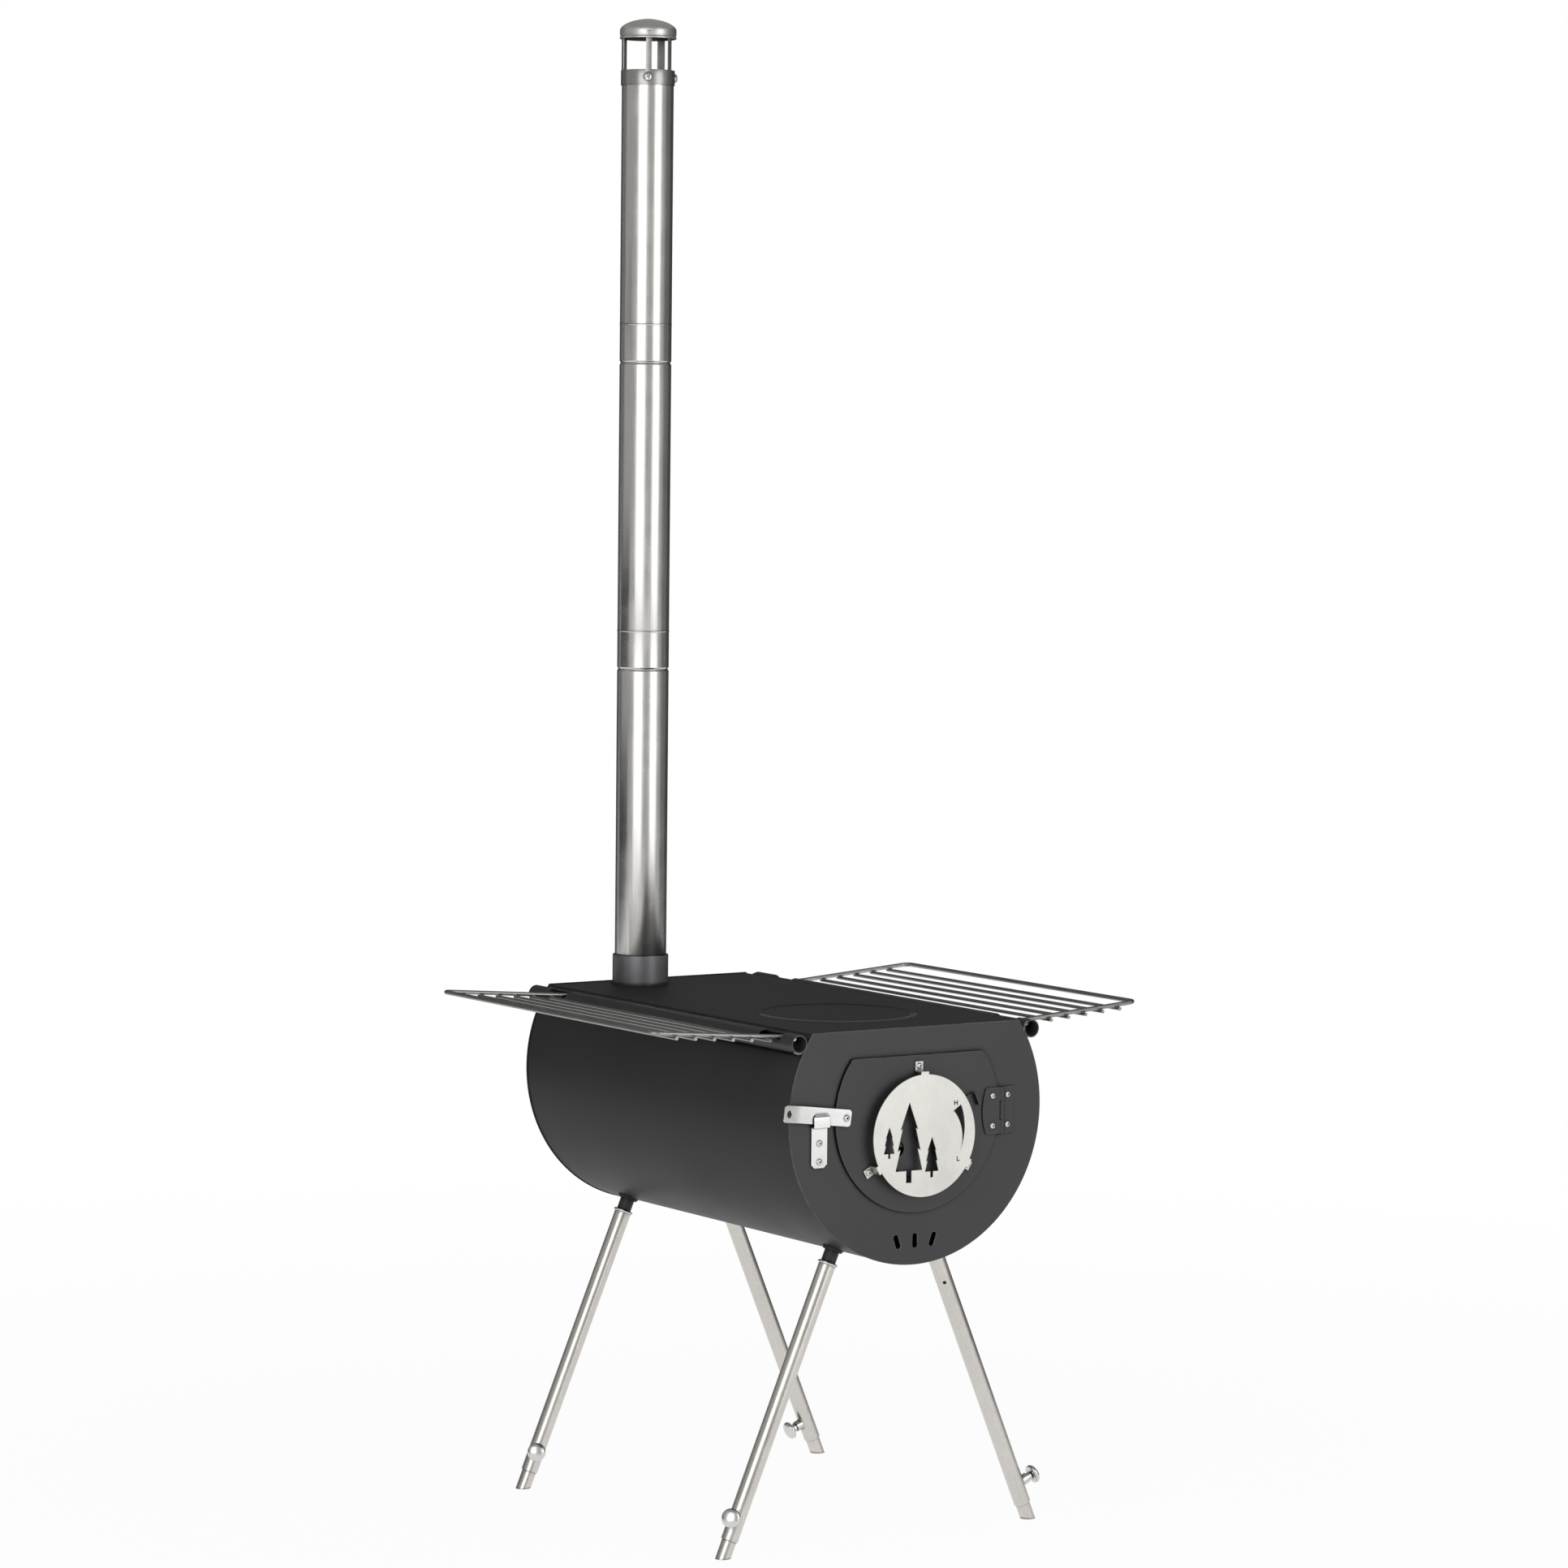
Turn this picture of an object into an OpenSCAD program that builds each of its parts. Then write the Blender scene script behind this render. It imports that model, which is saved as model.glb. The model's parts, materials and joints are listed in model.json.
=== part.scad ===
// A tent wood stove: a D-shaped steel barrel on four splayed telescopic legs, with a hinged
// fire door, a rotary air damper, two wire side racks and a three-section flue pipe.
// Millimetres, +Z up, the door faces -Y. The ground is z = 0.

/* [Barrel] */
// Outer radius of the barrel's rolled sheet
barrel_r = 165; // [150:1:180]
// Length of the barrel over both end plates
barrel_l = 556; // [500:1:640]
// Height of the barrel's axis above the ground
axis_h = 480; // [450:1:540]
// Height of the cooking surface above the barrel's axis
top_h = 94; // [88:1:100]
// Thickness of the rolled sheet
shell_t = 1.5; // [1:0.1:2]
// Thickness of the cook top
top_t = 2; // [1.5:0.1:3]
// Thickness of the end plates
plate_t = 2; // [1.5:0.1:3]
// How far the end plates stand proud of the barrel
plate_lip = 1; // [0.5:0.1:2]

/* [Cook top ring] */
// Radius of the pressed cooking ring, at its crest
ring_r = 86; // [70:1:100]
// Width of the pressed ring
ring_w = 7; // [5:0.5:10]
// Height of the pressed ring
ring_h = 0.9; // [0.5:0.1:1.5]
// Distance of the ring's centre behind the front plate
ring_back = 158; // [120:1:200]

/* [Air inlets] */
// Length of an air inlet slot
inlet_l = 16; // [10:0.5:20]
// Width of an air inlet slot
inlet_w = 6.2; // [4.5:0.1:7]
// Spacing of the three slots
inlet_pitch = 23.5; // [18:0.5:30]
// Depth of the slots below the barrel's axis
inlet_low = 139.5; // [130:0.5:145]
// Lean of the outer slots, in degrees
inlet_lean = 19; // [0:1:25]

/* [Fire grate] */
// Depth of the grate's underside below the barrel's axis
grate_low = 106; // [100:1:115]
// Thickness of the grate
grate_t = 3; // [2:0.5:5]
// Gap between the grate and each end plate
grate_end_gap = 3; // [1:0.5:8]
// Length of a slot in the grate, across the barrel
grate_slot_l = 62; // [40:1:66]
// Width of a slot in the grate
grate_slot_w = 8; // [6:0.5:12]
// Number of slot rows
grate_rows = 18; // [10:1:22]
// Pitch of the slot rows
grate_pitch = 29; // [20:0.5:30]

/* [Door] */
// Radius of the door's curved edge
door_r = 108; // [100:1:112]
// Height of the door's straight top edge above the barrel's axis
door_top = 64.5; // [60:0.5:70]
// Thickness of the door
door_t = 2.5; // [2:0.1:4]
// Gap between the closed door and the front plate
door_gap = 0.5; // [0.3:0.1:1]
// Radius of the corners of the door
door_corner = 5; // [2:0.5:8]
// Width of the door's overlap on the front plate
door_lap = 12; // [8:0.5:16]

/* [Hinge] */
// Distance of the hinge pin from the middle of the door
hinge_x = 111.2; // [111:0.1:113]
// Height of the hinge's middle against the barrel's axis
hinge_z = -3; // [-8:0.5:2]
// Height of the hinge
hinge_h = 51; // [40:1:60]
// Thickness of the hinge leaves
leaf_t = 1.5; // [1:0.1:2]
// Outer diameter of the knuckles
knuckle_d = 5.6; // [5.2:0.1:5.8]
// Diameter of the hinge pin
hinge_pin_d = 3; // [2.5:0.1:3.4]
// Width of the fixed leaf from the pin
leaf_w = 17.5; // [15:0.5:20]
// Width of the door's leaf from the pin, at its rounded edge
door_leaf_w = 26; // [22:0.5:28]
// Inward curve of the door leaf's ends
door_leaf_bow = 5; // [2:0.5:7]

/* [Rivets] */
// Diameter of a rivet head
rivet_d = 7; // [5:0.5:8]
// Height of a rivet head
rivet_h = 1.8; // [1:0.1:2.5]
// Diameter of a rivet's shank
rivet_shank_d = 3.2; // [2.5:0.1:4]

/* [Damper cover] */
// Radius of the damper's cover disc
disc_r = 67; // [60:1:70]
// Depth of the damper's centre below the barrel's axis
disc_low = 22.5; // [18:0.5:26]
// Distance of the disc's face in front of the door
disc_stand = 13; // [10:0.5:16]
// Thickness of the disc's sheet
disc_t = 1.5; // [1:0.1:2]
// Width of the three bent tabs
tab_w = 10; // [7:0.5:12]
// How far the bent tabs stand past the disc's edge
tab_out = 3; // [2:0.5:4]
// Length of the pad at the end of each tab
pad_l = 10; // [8:0.5:11]
// Radius of the tapered scale on the disc, at the middle of its width
scale_r = 51.5; // [46:0.5:52]
// Width of the scale at its wide end
scale_w = 11.5; // [6:0.5:12]
// Angle of the scale's tip, from the horizontal
scale_from = -22; // [-26:1:-10]
// Angle of the scale's wide end, from the horizontal
scale_to = 33; // [20:1:35]
// Height of the letters at the scale's ends
letter_h = 5.3; // [4:0.1:6]
// Width of a letter's stroke
stroke_w = 1; // [0.6:0.1:1.2]

/* [Air shutter] */
// Radius of the rotary shutter
shutter_r = 46; // [44:0.5:50]
// Thickness of the shutter
shutter_t = 1.5; // [1:0.1:2]
// Gap between the shutter and the door
shutter_gap = 0.4; // [0.3:0.1:0.8]
// Diameter of the air holes
air_hole_d = 18.5; // [14:0.5:20]
// Radius of the circle that the air holes lie on
air_hole_ring = 31.6; // [28:0.1:33]
// Reach of the shutter's lever from its centre
lever_reach = 83; // [78:0.5:84]
// Width of the lever
lever_w = 15; // [10:0.5:16]
// Height of the lip bent up at the lever's end
lever_lip = 5; // [3:0.5:8]
// Angle of the lever at rest above the horizontal, in degrees
lever_turn = 25; // [15:1:35]
// Diameter of the shutter's pivot
pivot_d = 6; // [5:0.5:8]

/* [Latch and keeper] */
// Distance of the latch's pivot from the middle of the door
latch_x = 95; // [90:0.5:97]
// Height of the latch's pivot against the barrel's axis
latch_z = 1.6; // [-4:0.2:6]
// Length of the latch bar from its pivot to its bend
latch_l = 60; // [54:0.5:66]
// Length of the bar's bent grip
grip_l = 26; // [20:0.5:32]
// Outward bend of the grip, in degrees
grip_bend = 15; // [5:1:20]
// Width of the latch bar
latch_w = 18.6; // [14:0.2:20]
// Thickness of the latch bar
latch_t = 1.6; // [1.2:0.1:2]
// Rise of the latch bar towards its grip, in degrees
latch_lean = 7.2; // [4:0.2:9]
// Diameter of the hole in the grip
grip_hole_d = 8; // [6:0.5:10]
// Running gap in front of and behind the latch bar
latch_gap = 0.4; // [0.3:0.1:0.8]
// Distance of the keeper's middle from the middle of the door
keeper_x = 127.7; // [125:0.1:132]
// Width of the keeper
keeper_w = 20.5; // [16:0.5:24]
// Depth of the keeper's lower end below the barrel's axis
keeper_low = 51; // [45:1:60]
// Height of the keeper's tip above the barrel's axis
keeper_tip = 7.8; // [5:0.2:10]
// Thickness of the keeper
keeper_t = 1.6; // [1.2:0.1:2]

/* [Rack tubes] */
// Outer diameter of a rack tube
rack_tube_d = 20; // [18:0.5:24]
// Wall of a rack tube
rack_tube_t = 1.5; // [1:0.1:2]
// Angle of the rack tubes above the barrel's horizontal diameter, in degrees
rack_tube_turn = 28.8; // [26:0.2:30]
// Length of the slots in a rack tube
rack_slot_l = 45; // [35:1:60]

/* [Side racks] */
// Diameter of the rack's frame wire
wire_d = 5; // [4:0.5:5.5]
// Diameter of the cross bars
bar_d = 4; // [3:0.5:4.5]
// Reach of the rack from its pivot to the outer wire
rack_reach = 166; // [140:1:200]
// Rise of the rack towards its outer wire, in degrees
rack_rise = 4.5; // [4.3:0.1:5]
// Distance of the front arm behind the front plate
arm_front = 30; // [28:1:40]
// Distance between the two arms
arm_span = 451; // [380:1:460]
// Radius of the frame's bends
rack_bend_r = 9; // [6:1:14]
// Number of cross bars
bar_n = 6; // [4:1:7]
// Distance of the first bar from the pivot
bar_first = 21; // [19:0.5:24]
// Pitch of the cross bars
bar_pitch = 23.8; // [18:0.2:26]
// Length of a bar past the arm's centre
bar_over = 5.5; // [4:0.5:10]
// Length of the pivot stub at the end of each arm
stub_l = 20; // [14:1:24]

/* [Flue collar] */
// Distance of the flue to the left of the barrel's middle
flue_left = 36; // [20:1:45]
// Distance of the flue's axis from the rear of the stove
flue_inset = 40; // [38:1:60]
// Outer diameter of the collar
collar_d = 65; // [64:0.5:68]
// Height of the collar
collar_h = 34.5; // [25:0.5:50]
// Diameter of the hole in the cook top
flue_hole_d = 55; // [50:0.5:56]

/* [Flue pipe] */
// Outer diameter of the pipe
pipe_d = 60; // [60:0.1:61]
// Wall of the pipe
pipe_t = 0.8; // [0.5:0.1:1]
// Length of the lower section, from the cook top to its rim
pipe_lower_l = 412; // [300:1:500]
// Length of the middle section that shows
pipe_middle_l = 354; // [250:1:450]
// Length of the upper section that shows
pipe_upper_l = 290; // [200:1:400]
// Depth of the socket at a section's upper end
socket_l = 44.5; // [30:0.5:60]
// Depth of the rolled groove under each socket
groove_deep = 1.2; // [0.6:0.1:1.5]
// Height of the rolled groove
groove_h = 4; // [3:0.5:6]

/* [Spark arrestor] */
// Thickness of the arrestor's sheet
cage_t = 1; // [0.8:0.1:1.2]
// Height of the band under the windows
band_h = 17; // [12:0.5:25]
// Height of the windows
window_h = 36; // [25:0.5:45]
// Number of posts between the windows
post_n = 5; // [4:1:6]
// Width of a post
post_w = 6; // [4:0.5:8]
// Turn of the first post about the pipe, in degrees
post_turn = -117.7; // [-180:0.1:180]
// Outer diameter of the dome's rim
dome_d = 65.4; // [65:0.1:68]
// Height of the dome's straight rim
dome_rim_h = 7.5; // [5:0.5:12]
// Height of the domed crown above the rim
dome_h = 16; // [10:0.5:25]
// Diameter of a band screw's head
band_screw_d = 10; // [6:0.5:11]
// Height of a band screw's head
band_screw_h = 3; // [2:0.5:4]
// Diameter of a band screw's shank
band_shank_d = 4; // [3:0.5:4.5]
// Turn of the first band screw about the pipe, in degrees
band_screw_turn = -31.7; // [-45:0.1:-25]

/* [Legs] */
// Splay of the legs from the vertical, in degrees
leg_angle = 23; // [18:0.5:26]
// Distance of the legs from each end of the barrel
leg_inset = 64; // [50:1:100]
// Outer diameter of a leg tube
leg_d = 19; // [19:0.1:20]
// Wall of the leg tubes
leg_t = 1.2; // [1:0.1:1.4]
// Length of the inner leg that shows below the outer tube
foot_bare = 20.45; // [16:0.05:60]
// Bare length of the socket stub between the barrel and the leg
leg_bare = 16; // [12:0.5:20]
// Length of the socket stub inside the leg
stub_in = 45; // [40:1:60]
// Diameter of the flange at the socket's root
flange_d = 21.5; // [20:0.5:26]
// Height of the flange at the socket's root
flange_h = 3; // [2:0.5:5]
// Radius of the rolled rim at a leg's upper end
rim_r = 1.7; // [1:0.1:2.5]
// Length of the inner leg that stays inside the outer tube
leg_inside = 150; // [130:1:180]
// Diameter of the small hole near a leg's upper end
leg_hole_d = 4; // [3:0.5:5]
// Distance of the small hole below the rim
leg_hole_low = 35; // [25:1:38]
// Turn of the small hole from the thumb screw, in degrees
leg_hole_turn = 123; // [90:1:150]

/* [Thumb screws] */
// Distance of a thumb screw above the outer tube's lower end
thumb_up = 23; // [18:0.5:30]
// Diameter of the threaded boss
boss_d = 12; // [10:0.5:14]
// Height of the boss above the tube
boss_h = 6.5; // [5:0.5:8]
// Diameter of the screw
thumb_d = 6; // [5:0.5:7]
// Diameter of the neck under the head
thumb_neck_d = 9; // [8:0.5:10]
// Length of the neck
thumb_neck_l = 6; // [4:0.5:9]
// Diameter of the mushroom head
thumb_head_d = 21; // [18:0.5:24]
// Height of the mushroom head
thumb_head_h = 7.5; // [6:0.5:9]
// Bearing of the front left screw, in degrees from +X
thumb_fl_turn = -139.5; // [-180:0.5:180]
// Bearing of the rear left screw, in degrees from +X
thumb_rl_turn = -121; // [-180:0.5:180]
// Bearing of the front right screw, in degrees from +X
thumb_fr_turn = 0; // [-180:0.5:180]
// Bearing of the rear right screw, in degrees from +X
thumb_rr_turn = 180; // [-180:0.5:180]

/* [Hidden] */
// Facets of round faces
$fn = 96;
// Overrun of cuts past the faces that they open
over = 1;
// Radial clearance of a tube that slides or stands in another
slide_gap = 0.1;
// Radial clearance of a pin or neck in its bore
run_gap = 0.05;
// Gap left between two faces of different moving pieces
face_gap = 0.3;
// Reach of the large blocks that cut half spaces
far = 2000;

front_reach = door_gap + door_t + disc_stand;
front_y = -(barrel_l - front_reach)/2;
rear_y = front_y + barrel_l;
plate_r = barrel_r + plate_lip;
door_face = front_y - door_gap - door_t;
rack_tube_r = rack_tube_d/2;
rack_tube_x = (barrel_r + rack_tube_r)*cos(rack_tube_turn);
rack_tube_z = (barrel_r + rack_tube_r)*sin(rack_tube_turn);
top_z = axis_h + top_h;

// The wire's pivot stub sits high in the tube's bore, so that the arm rests on the slot's lip
rack_pivot_up = rack_tube_r/2;
// Angles over which a rack tube's slots are open, from the outward horizontal
slot_from = 17;
slot_to = 118;
// Margin between a slot's end and the arm that lies there
slot_margin = 3.5;

hinge_front = front_y - knuckle_d/2 - face_gap;
knuckle_gap = 0.4;
knuckle_share = 0.4;
hinge_rivet_up = 16.5;
door_rivet_in = 12.5;
frame_rivet_in = 9.5;

disc_back = door_face - disc_stand + disc_t;
disc_front = disc_back - disc_t;
shutter_back = door_face - shutter_gap;
shutter_front = shutter_back - shutter_t;
tab_root = disc_r + tab_out;
rivet_pad_r = tab_root + pad_l/2;
tab_turns = [90, 210, 330];
// How far the shutter's holes stand turned from the door's at rest
shutter_open = 17;
air_hole_turn = 206;
// The letters stand this much further out than the scale's middle, at these angles
letter_out = 1.5;
letter_h_turn = 39;
letter_l_turn = -32;
letter_width_shares = [0.9, 0.7];
// Each fir tree's place from the disc's centre and its height, in shares of the disc's radius
tree_shares = [[-0.3, -0.75, 1.31], [-0.69, -0.33, 0.51], [0.15, -0.69, 0.66]];
// The heads of the two pivots, in shares of the pivot's diameter
shutter_head_share = 2;
latch_head_share = 1.4;

latch_back = door_face - latch_gap;
latch_front = latch_back - latch_t;
keeper_hook_front = latch_front - latch_gap - keeper_t;
// The latch bar rests here, on the keeper's inner edge
keeper_shelf = latch_z + (keeper_x - keeper_w/2 - latch_x)*tan(latch_lean)
    - latch_w/2/cos(latch_lean) - face_gap;
keeper_chamfer = 4;
keeper_rivet_low = 24;
keeper_rivet_pitch = 20;

pipe_r = pipe_d/2;
pipe_bore_r = pipe_r - pipe_t;
neck_r = pipe_bore_r - run_gap;
flue_y = rear_y - flue_inset;
lower_rim = top_z + pipe_lower_l;
middle_rim = lower_rim + pipe_middle_l;
upper_end = middle_rim + pipe_upper_l;
neck_l = socket_l - groove_h/2 - face_gap;
cage_r = pipe_r + slide_gap + cage_t;
cage_low = upper_end - band_h + cage_t;
window_low = cage_low + band_h;
window_top = window_low + window_h;
cage_top = window_top + dome_rim_h - cage_t;

leg_bore_r = leg_d/2 - leg_t;
leg_stub_r = leg_bore_r - slide_gap;
leg_top_r = barrel_r + leg_bare;
foot_r = axis_h/cos(leg_angle);
leg_end_r = foot_r - foot_bare;
leg_l = leg_end_r - leg_top_r;
thumb_r = leg_end_r - thumb_up;
boss_top = leg_d/2 + boss_h;
leg_front_y = front_y + leg_inset;
leg_rear_y = rear_y - leg_inset;

steel_black = [0.16, 0.16, 0.165];
steel_side = [0.13, 0.13, 0.135];
stainless = [0.72, 0.71, 0.69];
bright = [0.82, 0.82, 0.81];
wire_grey = [0.66, 0.66, 0.64];

// Extrudes a front view outline from one y to another
module along_y(y0, y1) {
    translate([0, y1, 0]) rotate([90, 0, 0]) linear_extrude(height = y1 - y0) children();
}

// A D outline: a circle cut off level at a height above its centre
module d_outline(r, h) {
    intersection() {
        circle(r = r);
        translate([-far, -2*far + h]) square([2*far, 2*far]);
    }
}

// The front view outlines of the two rack tubes
module rack_tube_outline(r) {
    for (side = [-1, 1]) translate([side*rack_tube_x, rack_tube_z]) circle(r = r);
}

module barrel_shell() {
    color(steel_side) translate([0, 0, axis_h]) along_y(front_y + plate_t, rear_y - plate_t)
        difference() {
            d_outline(barrel_r, top_h - top_t);
            circle(r = barrel_r - shell_t);
        }
}

module cook_top() {
    crest_shares = [[-1, 0], [-0.5, 0.85], [-0.2, 1], [0.2, 1], [0.5, 0.85], [1, 0], [0, -1]];
    color(steel_black) difference() {
        union() {
            translate([0, 0, axis_h]) along_y(front_y + plate_t, rear_y - plate_t)
                difference() {
                    d_outline(barrel_r, top_h);
                    translate([-far, -2*far + top_h - top_t]) square([2*far, 2*far]);
                }
            translate([0, front_y + ring_back, top_z]) rotate_extrude()
                polygon([for (p = crest_shares) [ring_r + p[0]*ring_w/2, p[1]*ring_h]]);
        }
        translate([-flue_left, flue_y, top_z - top_t - over])
            cylinder(d = flue_hole_d, h = top_t + 2*over);
    }
}

module end_plate_outline() {
    difference() {
        d_outline(plate_r, top_h + plate_lip);
        rack_tube_outline(rack_tube_r + slide_gap);
    }
}

// A slot with round ends, centred, along the outline's second axis
module slot_outline(l, w) {
    square([w, l - w], center = true);
    for (end = [-1, 1]) translate([0, end*(l - w)/2]) circle(d = w);
}

module front_plate() {
    color(steel_black) translate([0, 0, axis_h]) along_y(front_y, front_y + plate_t)
        difference() {
            end_plate_outline();
            d_outline(door_r - door_lap, door_top - door_lap);
            for (i = [-1, 0, 1]) translate([i*inlet_pitch, -inlet_low])
                rotate(-i*inlet_lean) slot_outline(inlet_l, inlet_w);
            for (up = [-1, 1]) translate([hinge_x + frame_rivet_in, hinge_z + up*hinge_rivet_up])
                circle(d = rivet_shank_d + 2*run_gap);
            for (i = [0, 1])
                translate([-keeper_x, -keeper_rivet_low - i*keeper_rivet_pitch])
                    circle(d = rivet_shank_d + 2*run_gap);
        }
}

module rear_plate() {
    color(steel_side) translate([0, 0, axis_h]) along_y(rear_y - plate_t, rear_y)
        end_plate_outline();
}

module fire_grate() {
    half_w = sqrt(pow(barrel_r - shell_t, 2) - pow(grate_low, 2)) - slide_gap;
    y0 = front_y + plate_t + grate_end_gap;
    y1 = rear_y - plate_t - grate_end_gap;
    color("dimgray") translate([0, (y0 + y1)/2, axis_h - grate_low]) linear_extrude(height = grate_t)
        difference() {
            square([2*half_w, y1 - y0], center = true);
            for (row = [0:grate_rows - 1], column = [-1, 0, 1])
                translate([column*half_w*2/3, (row - (grate_rows - 1)/2)*grate_pitch])
                    rotate(90) slot_outline(grate_slot_l, grate_slot_w);
        }
}

module flue_collar() {
    color(steel_black) translate([-flue_left, flue_y, top_z]) difference() {
        cylinder(d = collar_d, h = collar_h);
        translate([0, 0, -over]) cylinder(r = pipe_r + slide_gap, h = collar_h + 2*over);
    }
}

// The sector of a rack tube that its slots open, drawn for the right hand side
module slot_sector() {
    steps = 8;
    turns = [for (i = [0:steps]) slot_from + i*(slot_to - slot_from)/steps];
    polygon(concat([[0, 0]], [for (turn = turns) rack_tube_d*[cos(turn), sin(turn)]]));
}

module rack_tube(side) {
    slot_y = front_y + arm_front - wire_d/2 - slot_margin;
    color(steel_black) translate([side*rack_tube_x, 0, axis_h + rack_tube_z]) difference() {
        along_y(front_y, rear_y) difference() {
            circle(r = rack_tube_r);
            circle(r = rack_tube_r - rack_tube_t);
        }
        for (y = [slot_y, slot_y + arm_span]) along_y(y, y + rack_slot_l)
            mirror([side < 0 ? 1 : 0, 0]) slot_sector();
    }
}

// A riveted head with its shank, pointing to -Y from the face at y, down to depth
module rivet(x, y, z, depth) {
    translate([x, y, z]) rotate([90, 0, 0]) {
        intersection() {
            cylinder(d = rivet_d, h = rivet_h);
            translate([0, 0, rivet_h - rivet_d]) sphere(r = rivet_d);
        }
        translate([0, 0, -depth]) cylinder(d = rivet_shank_d, h = depth + rivet_h/2);
    }
}

module latch_keeper() {
    x0 = -keeper_x - keeper_w/2;
    base = keeper_shelf - keeper_t;
    cut = keeper_chamfer*sqrt(2);
    color(bright) translate([0, 0, axis_h]) difference() {
        union() {
            translate([x0, front_y - keeper_t, -keeper_low])
                cube([keeper_w, keeper_t, keeper_low + keeper_shelf]);
            translate([x0, keeper_hook_front, base])
                cube([keeper_w, front_y - keeper_hook_front, keeper_t]);
            translate([x0, keeper_hook_front, base]) cube([keeper_w, keeper_t, keeper_tip - base]);
        }
        for (side = [-1, 1])
            translate([-keeper_x + side*keeper_w/2, front_y + over, -keeper_low])
                rotate([90, 0, 0]) rotate(45) translate([-cut/2, -cut/2, 0])
                    cube([cut, cut, keeper_t + 2*over]);
        for (i = [0, 1])
            translate([-keeper_x, front_y + over, -keeper_rivet_low - i*keeper_rivet_pitch])
                rotate([90, 0, 0]) cylinder(d = rivet_shank_d + 2*run_gap, h = keeper_t + 2*over);
    }
}

module keeper_rivets() {
    color(bright) translate([0, 0, axis_h]) for (i = [0, 1])
        rivet(-keeper_x, front_y - keeper_t, -keeper_rivet_low - i*keeper_rivet_pitch,
            keeper_t + plate_t);
}

// A knuckle round the hinge pin, from one height to another
module knuckle(z0, z1) {
    translate([hinge_x, hinge_front, z0]) cylinder(d = knuckle_d, h = z1 - z0);
}

// The bore for the hinge pin
module pin_bore(clearance) {
    translate([hinge_x, hinge_front, hinge_z - hinge_h/2 - over])
        cylinder(d = hinge_pin_d + 2*clearance, h = hinge_h + 2*over);
}

module hinge_leaf_fixed() {
    mid = knuckle_share*hinge_h/2;
    low = hinge_z - hinge_h/2;
    color(steel_black) translate([0, 0, axis_h]) difference() {
        union() {
            translate([hinge_x + knuckle_d/2, front_y - leaf_t, low])
                cube([leaf_w - knuckle_d/2, leaf_t, hinge_h]);
            translate([hinge_x, front_y - face_gap - leaf_t, hinge_z - mid])
                cube([knuckle_d, leaf_t + face_gap, 2*mid]);
            knuckle(hinge_z - mid, hinge_z + mid);
        }
        pin_bore(run_gap);
        for (up = [-1, 1])
            translate([hinge_x + frame_rivet_in, front_y + over, hinge_z + up*hinge_rivet_up])
                rotate([90, 0, 0]) cylinder(d = rivet_shank_d + 2*run_gap, h = leaf_t + 2*over);
    }
}

module hinge_pin() {
    color(steel_black) translate([hinge_x, hinge_front, axis_h + hinge_z - hinge_h/2])
        cylinder(d = hinge_pin_d, h = hinge_h);
}

module frame_hinge_rivets() {
    color(bright) translate([0, 0, axis_h]) for (up = [-1, 1])
        rivet(hinge_x + frame_rivet_in, front_y - leaf_t, hinge_z + up*hinge_rivet_up,
            leaf_t + plate_t);
}

// A pipe section: a wall from a lower to an upper end, with an optional neck that enters
// the socket below and an optional rolled groove under its own socket
module pipe_section(z0, z1, neck, groove) {
    zg = z1 - socket_l;
    zn = z0 - neck_l;
    outer_low = neck ? [[neck_r, zn], [neck_r, z0], [pipe_r, z0]] : [[pipe_r, z0]];
    inner_low = neck ? [[pipe_bore_r, z0 + pipe_t], [neck_r - pipe_t, z0 + pipe_t],
        [neck_r - pipe_t, zn]] : [[pipe_bore_r, z0]];
    outer_groove = groove ? [[pipe_r, zg - groove_h/2], [pipe_r - groove_deep, zg],
        [pipe_r, zg + groove_h/2]] : [];
    inner_groove = groove ? [[pipe_bore_r, zg + groove_h/2], [pipe_bore_r - groove_deep, zg],
        [pipe_bore_r, zg - groove_h/2]] : [];
    color(stainless) translate([-flue_left, flue_y, 0]) rotate_extrude()
        polygon(concat(outer_low, outer_groove, [[pipe_r, z1], [pipe_bore_r, z1]],
            inner_groove, inner_low));
}

module arrestor_cage() {
    color(stainless) translate([-flue_left, flue_y, 0]) difference() {
        translate([0, 0, cage_low]) cylinder(r = cage_r, h = cage_top - cage_low);
        translate([0, 0, cage_low - over])
            cylinder(r = cage_r - cage_t, h = cage_top - cage_low + 2*over);
        for (i = [0:post_n - 1]) rotate(post_turn + (i + 0.5)*360/post_n)
            translate([0, 0, window_low]) linear_extrude(height = window_h) window_sector();
        for (i = [0:3]) rotate(band_screw_turn + i*90)
            translate([0, 0, cage_low + band_h/2]) rotate([0, 90, 0])
                cylinder(d = band_shank_d + 2*run_gap, h = cage_r + over);
    }
}

// Plan view of one window: the room between two parallel post sides, outwards
module window_sector() {
    half = 180/post_n;
    root = post_w/2/sin(half);
    polygon([[root, 0], 2*cage_r*[cos(half), sin(half)] + post_w/2*[sin(half), -cos(half)],
        2*cage_r*[cos(half), -sin(half)] + post_w/2*[sin(half), cos(half)]]);
}

module arrestor_dome() {
    outer = dome_d/2;
    inner = cage_r + slide_gap;
    steps = 12;
    crown = [for (i = [0:steps]) [outer*cos(90*i/steps), window_top + dome_rim_h
        + dome_h*sin(90*i/steps)]];
    under = [for (i = [steps:-1:0]) [inner*cos(90*i/steps), window_top + dome_rim_h
        - cage_t/2 + (dome_h - cage_t/2)*sin(90*i/steps)]];
    color(stainless) translate([-flue_left, flue_y, 0]) rotate_extrude()
        polygon(concat([[inner, window_top], [outer, window_top]], crown, under));
}

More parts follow.
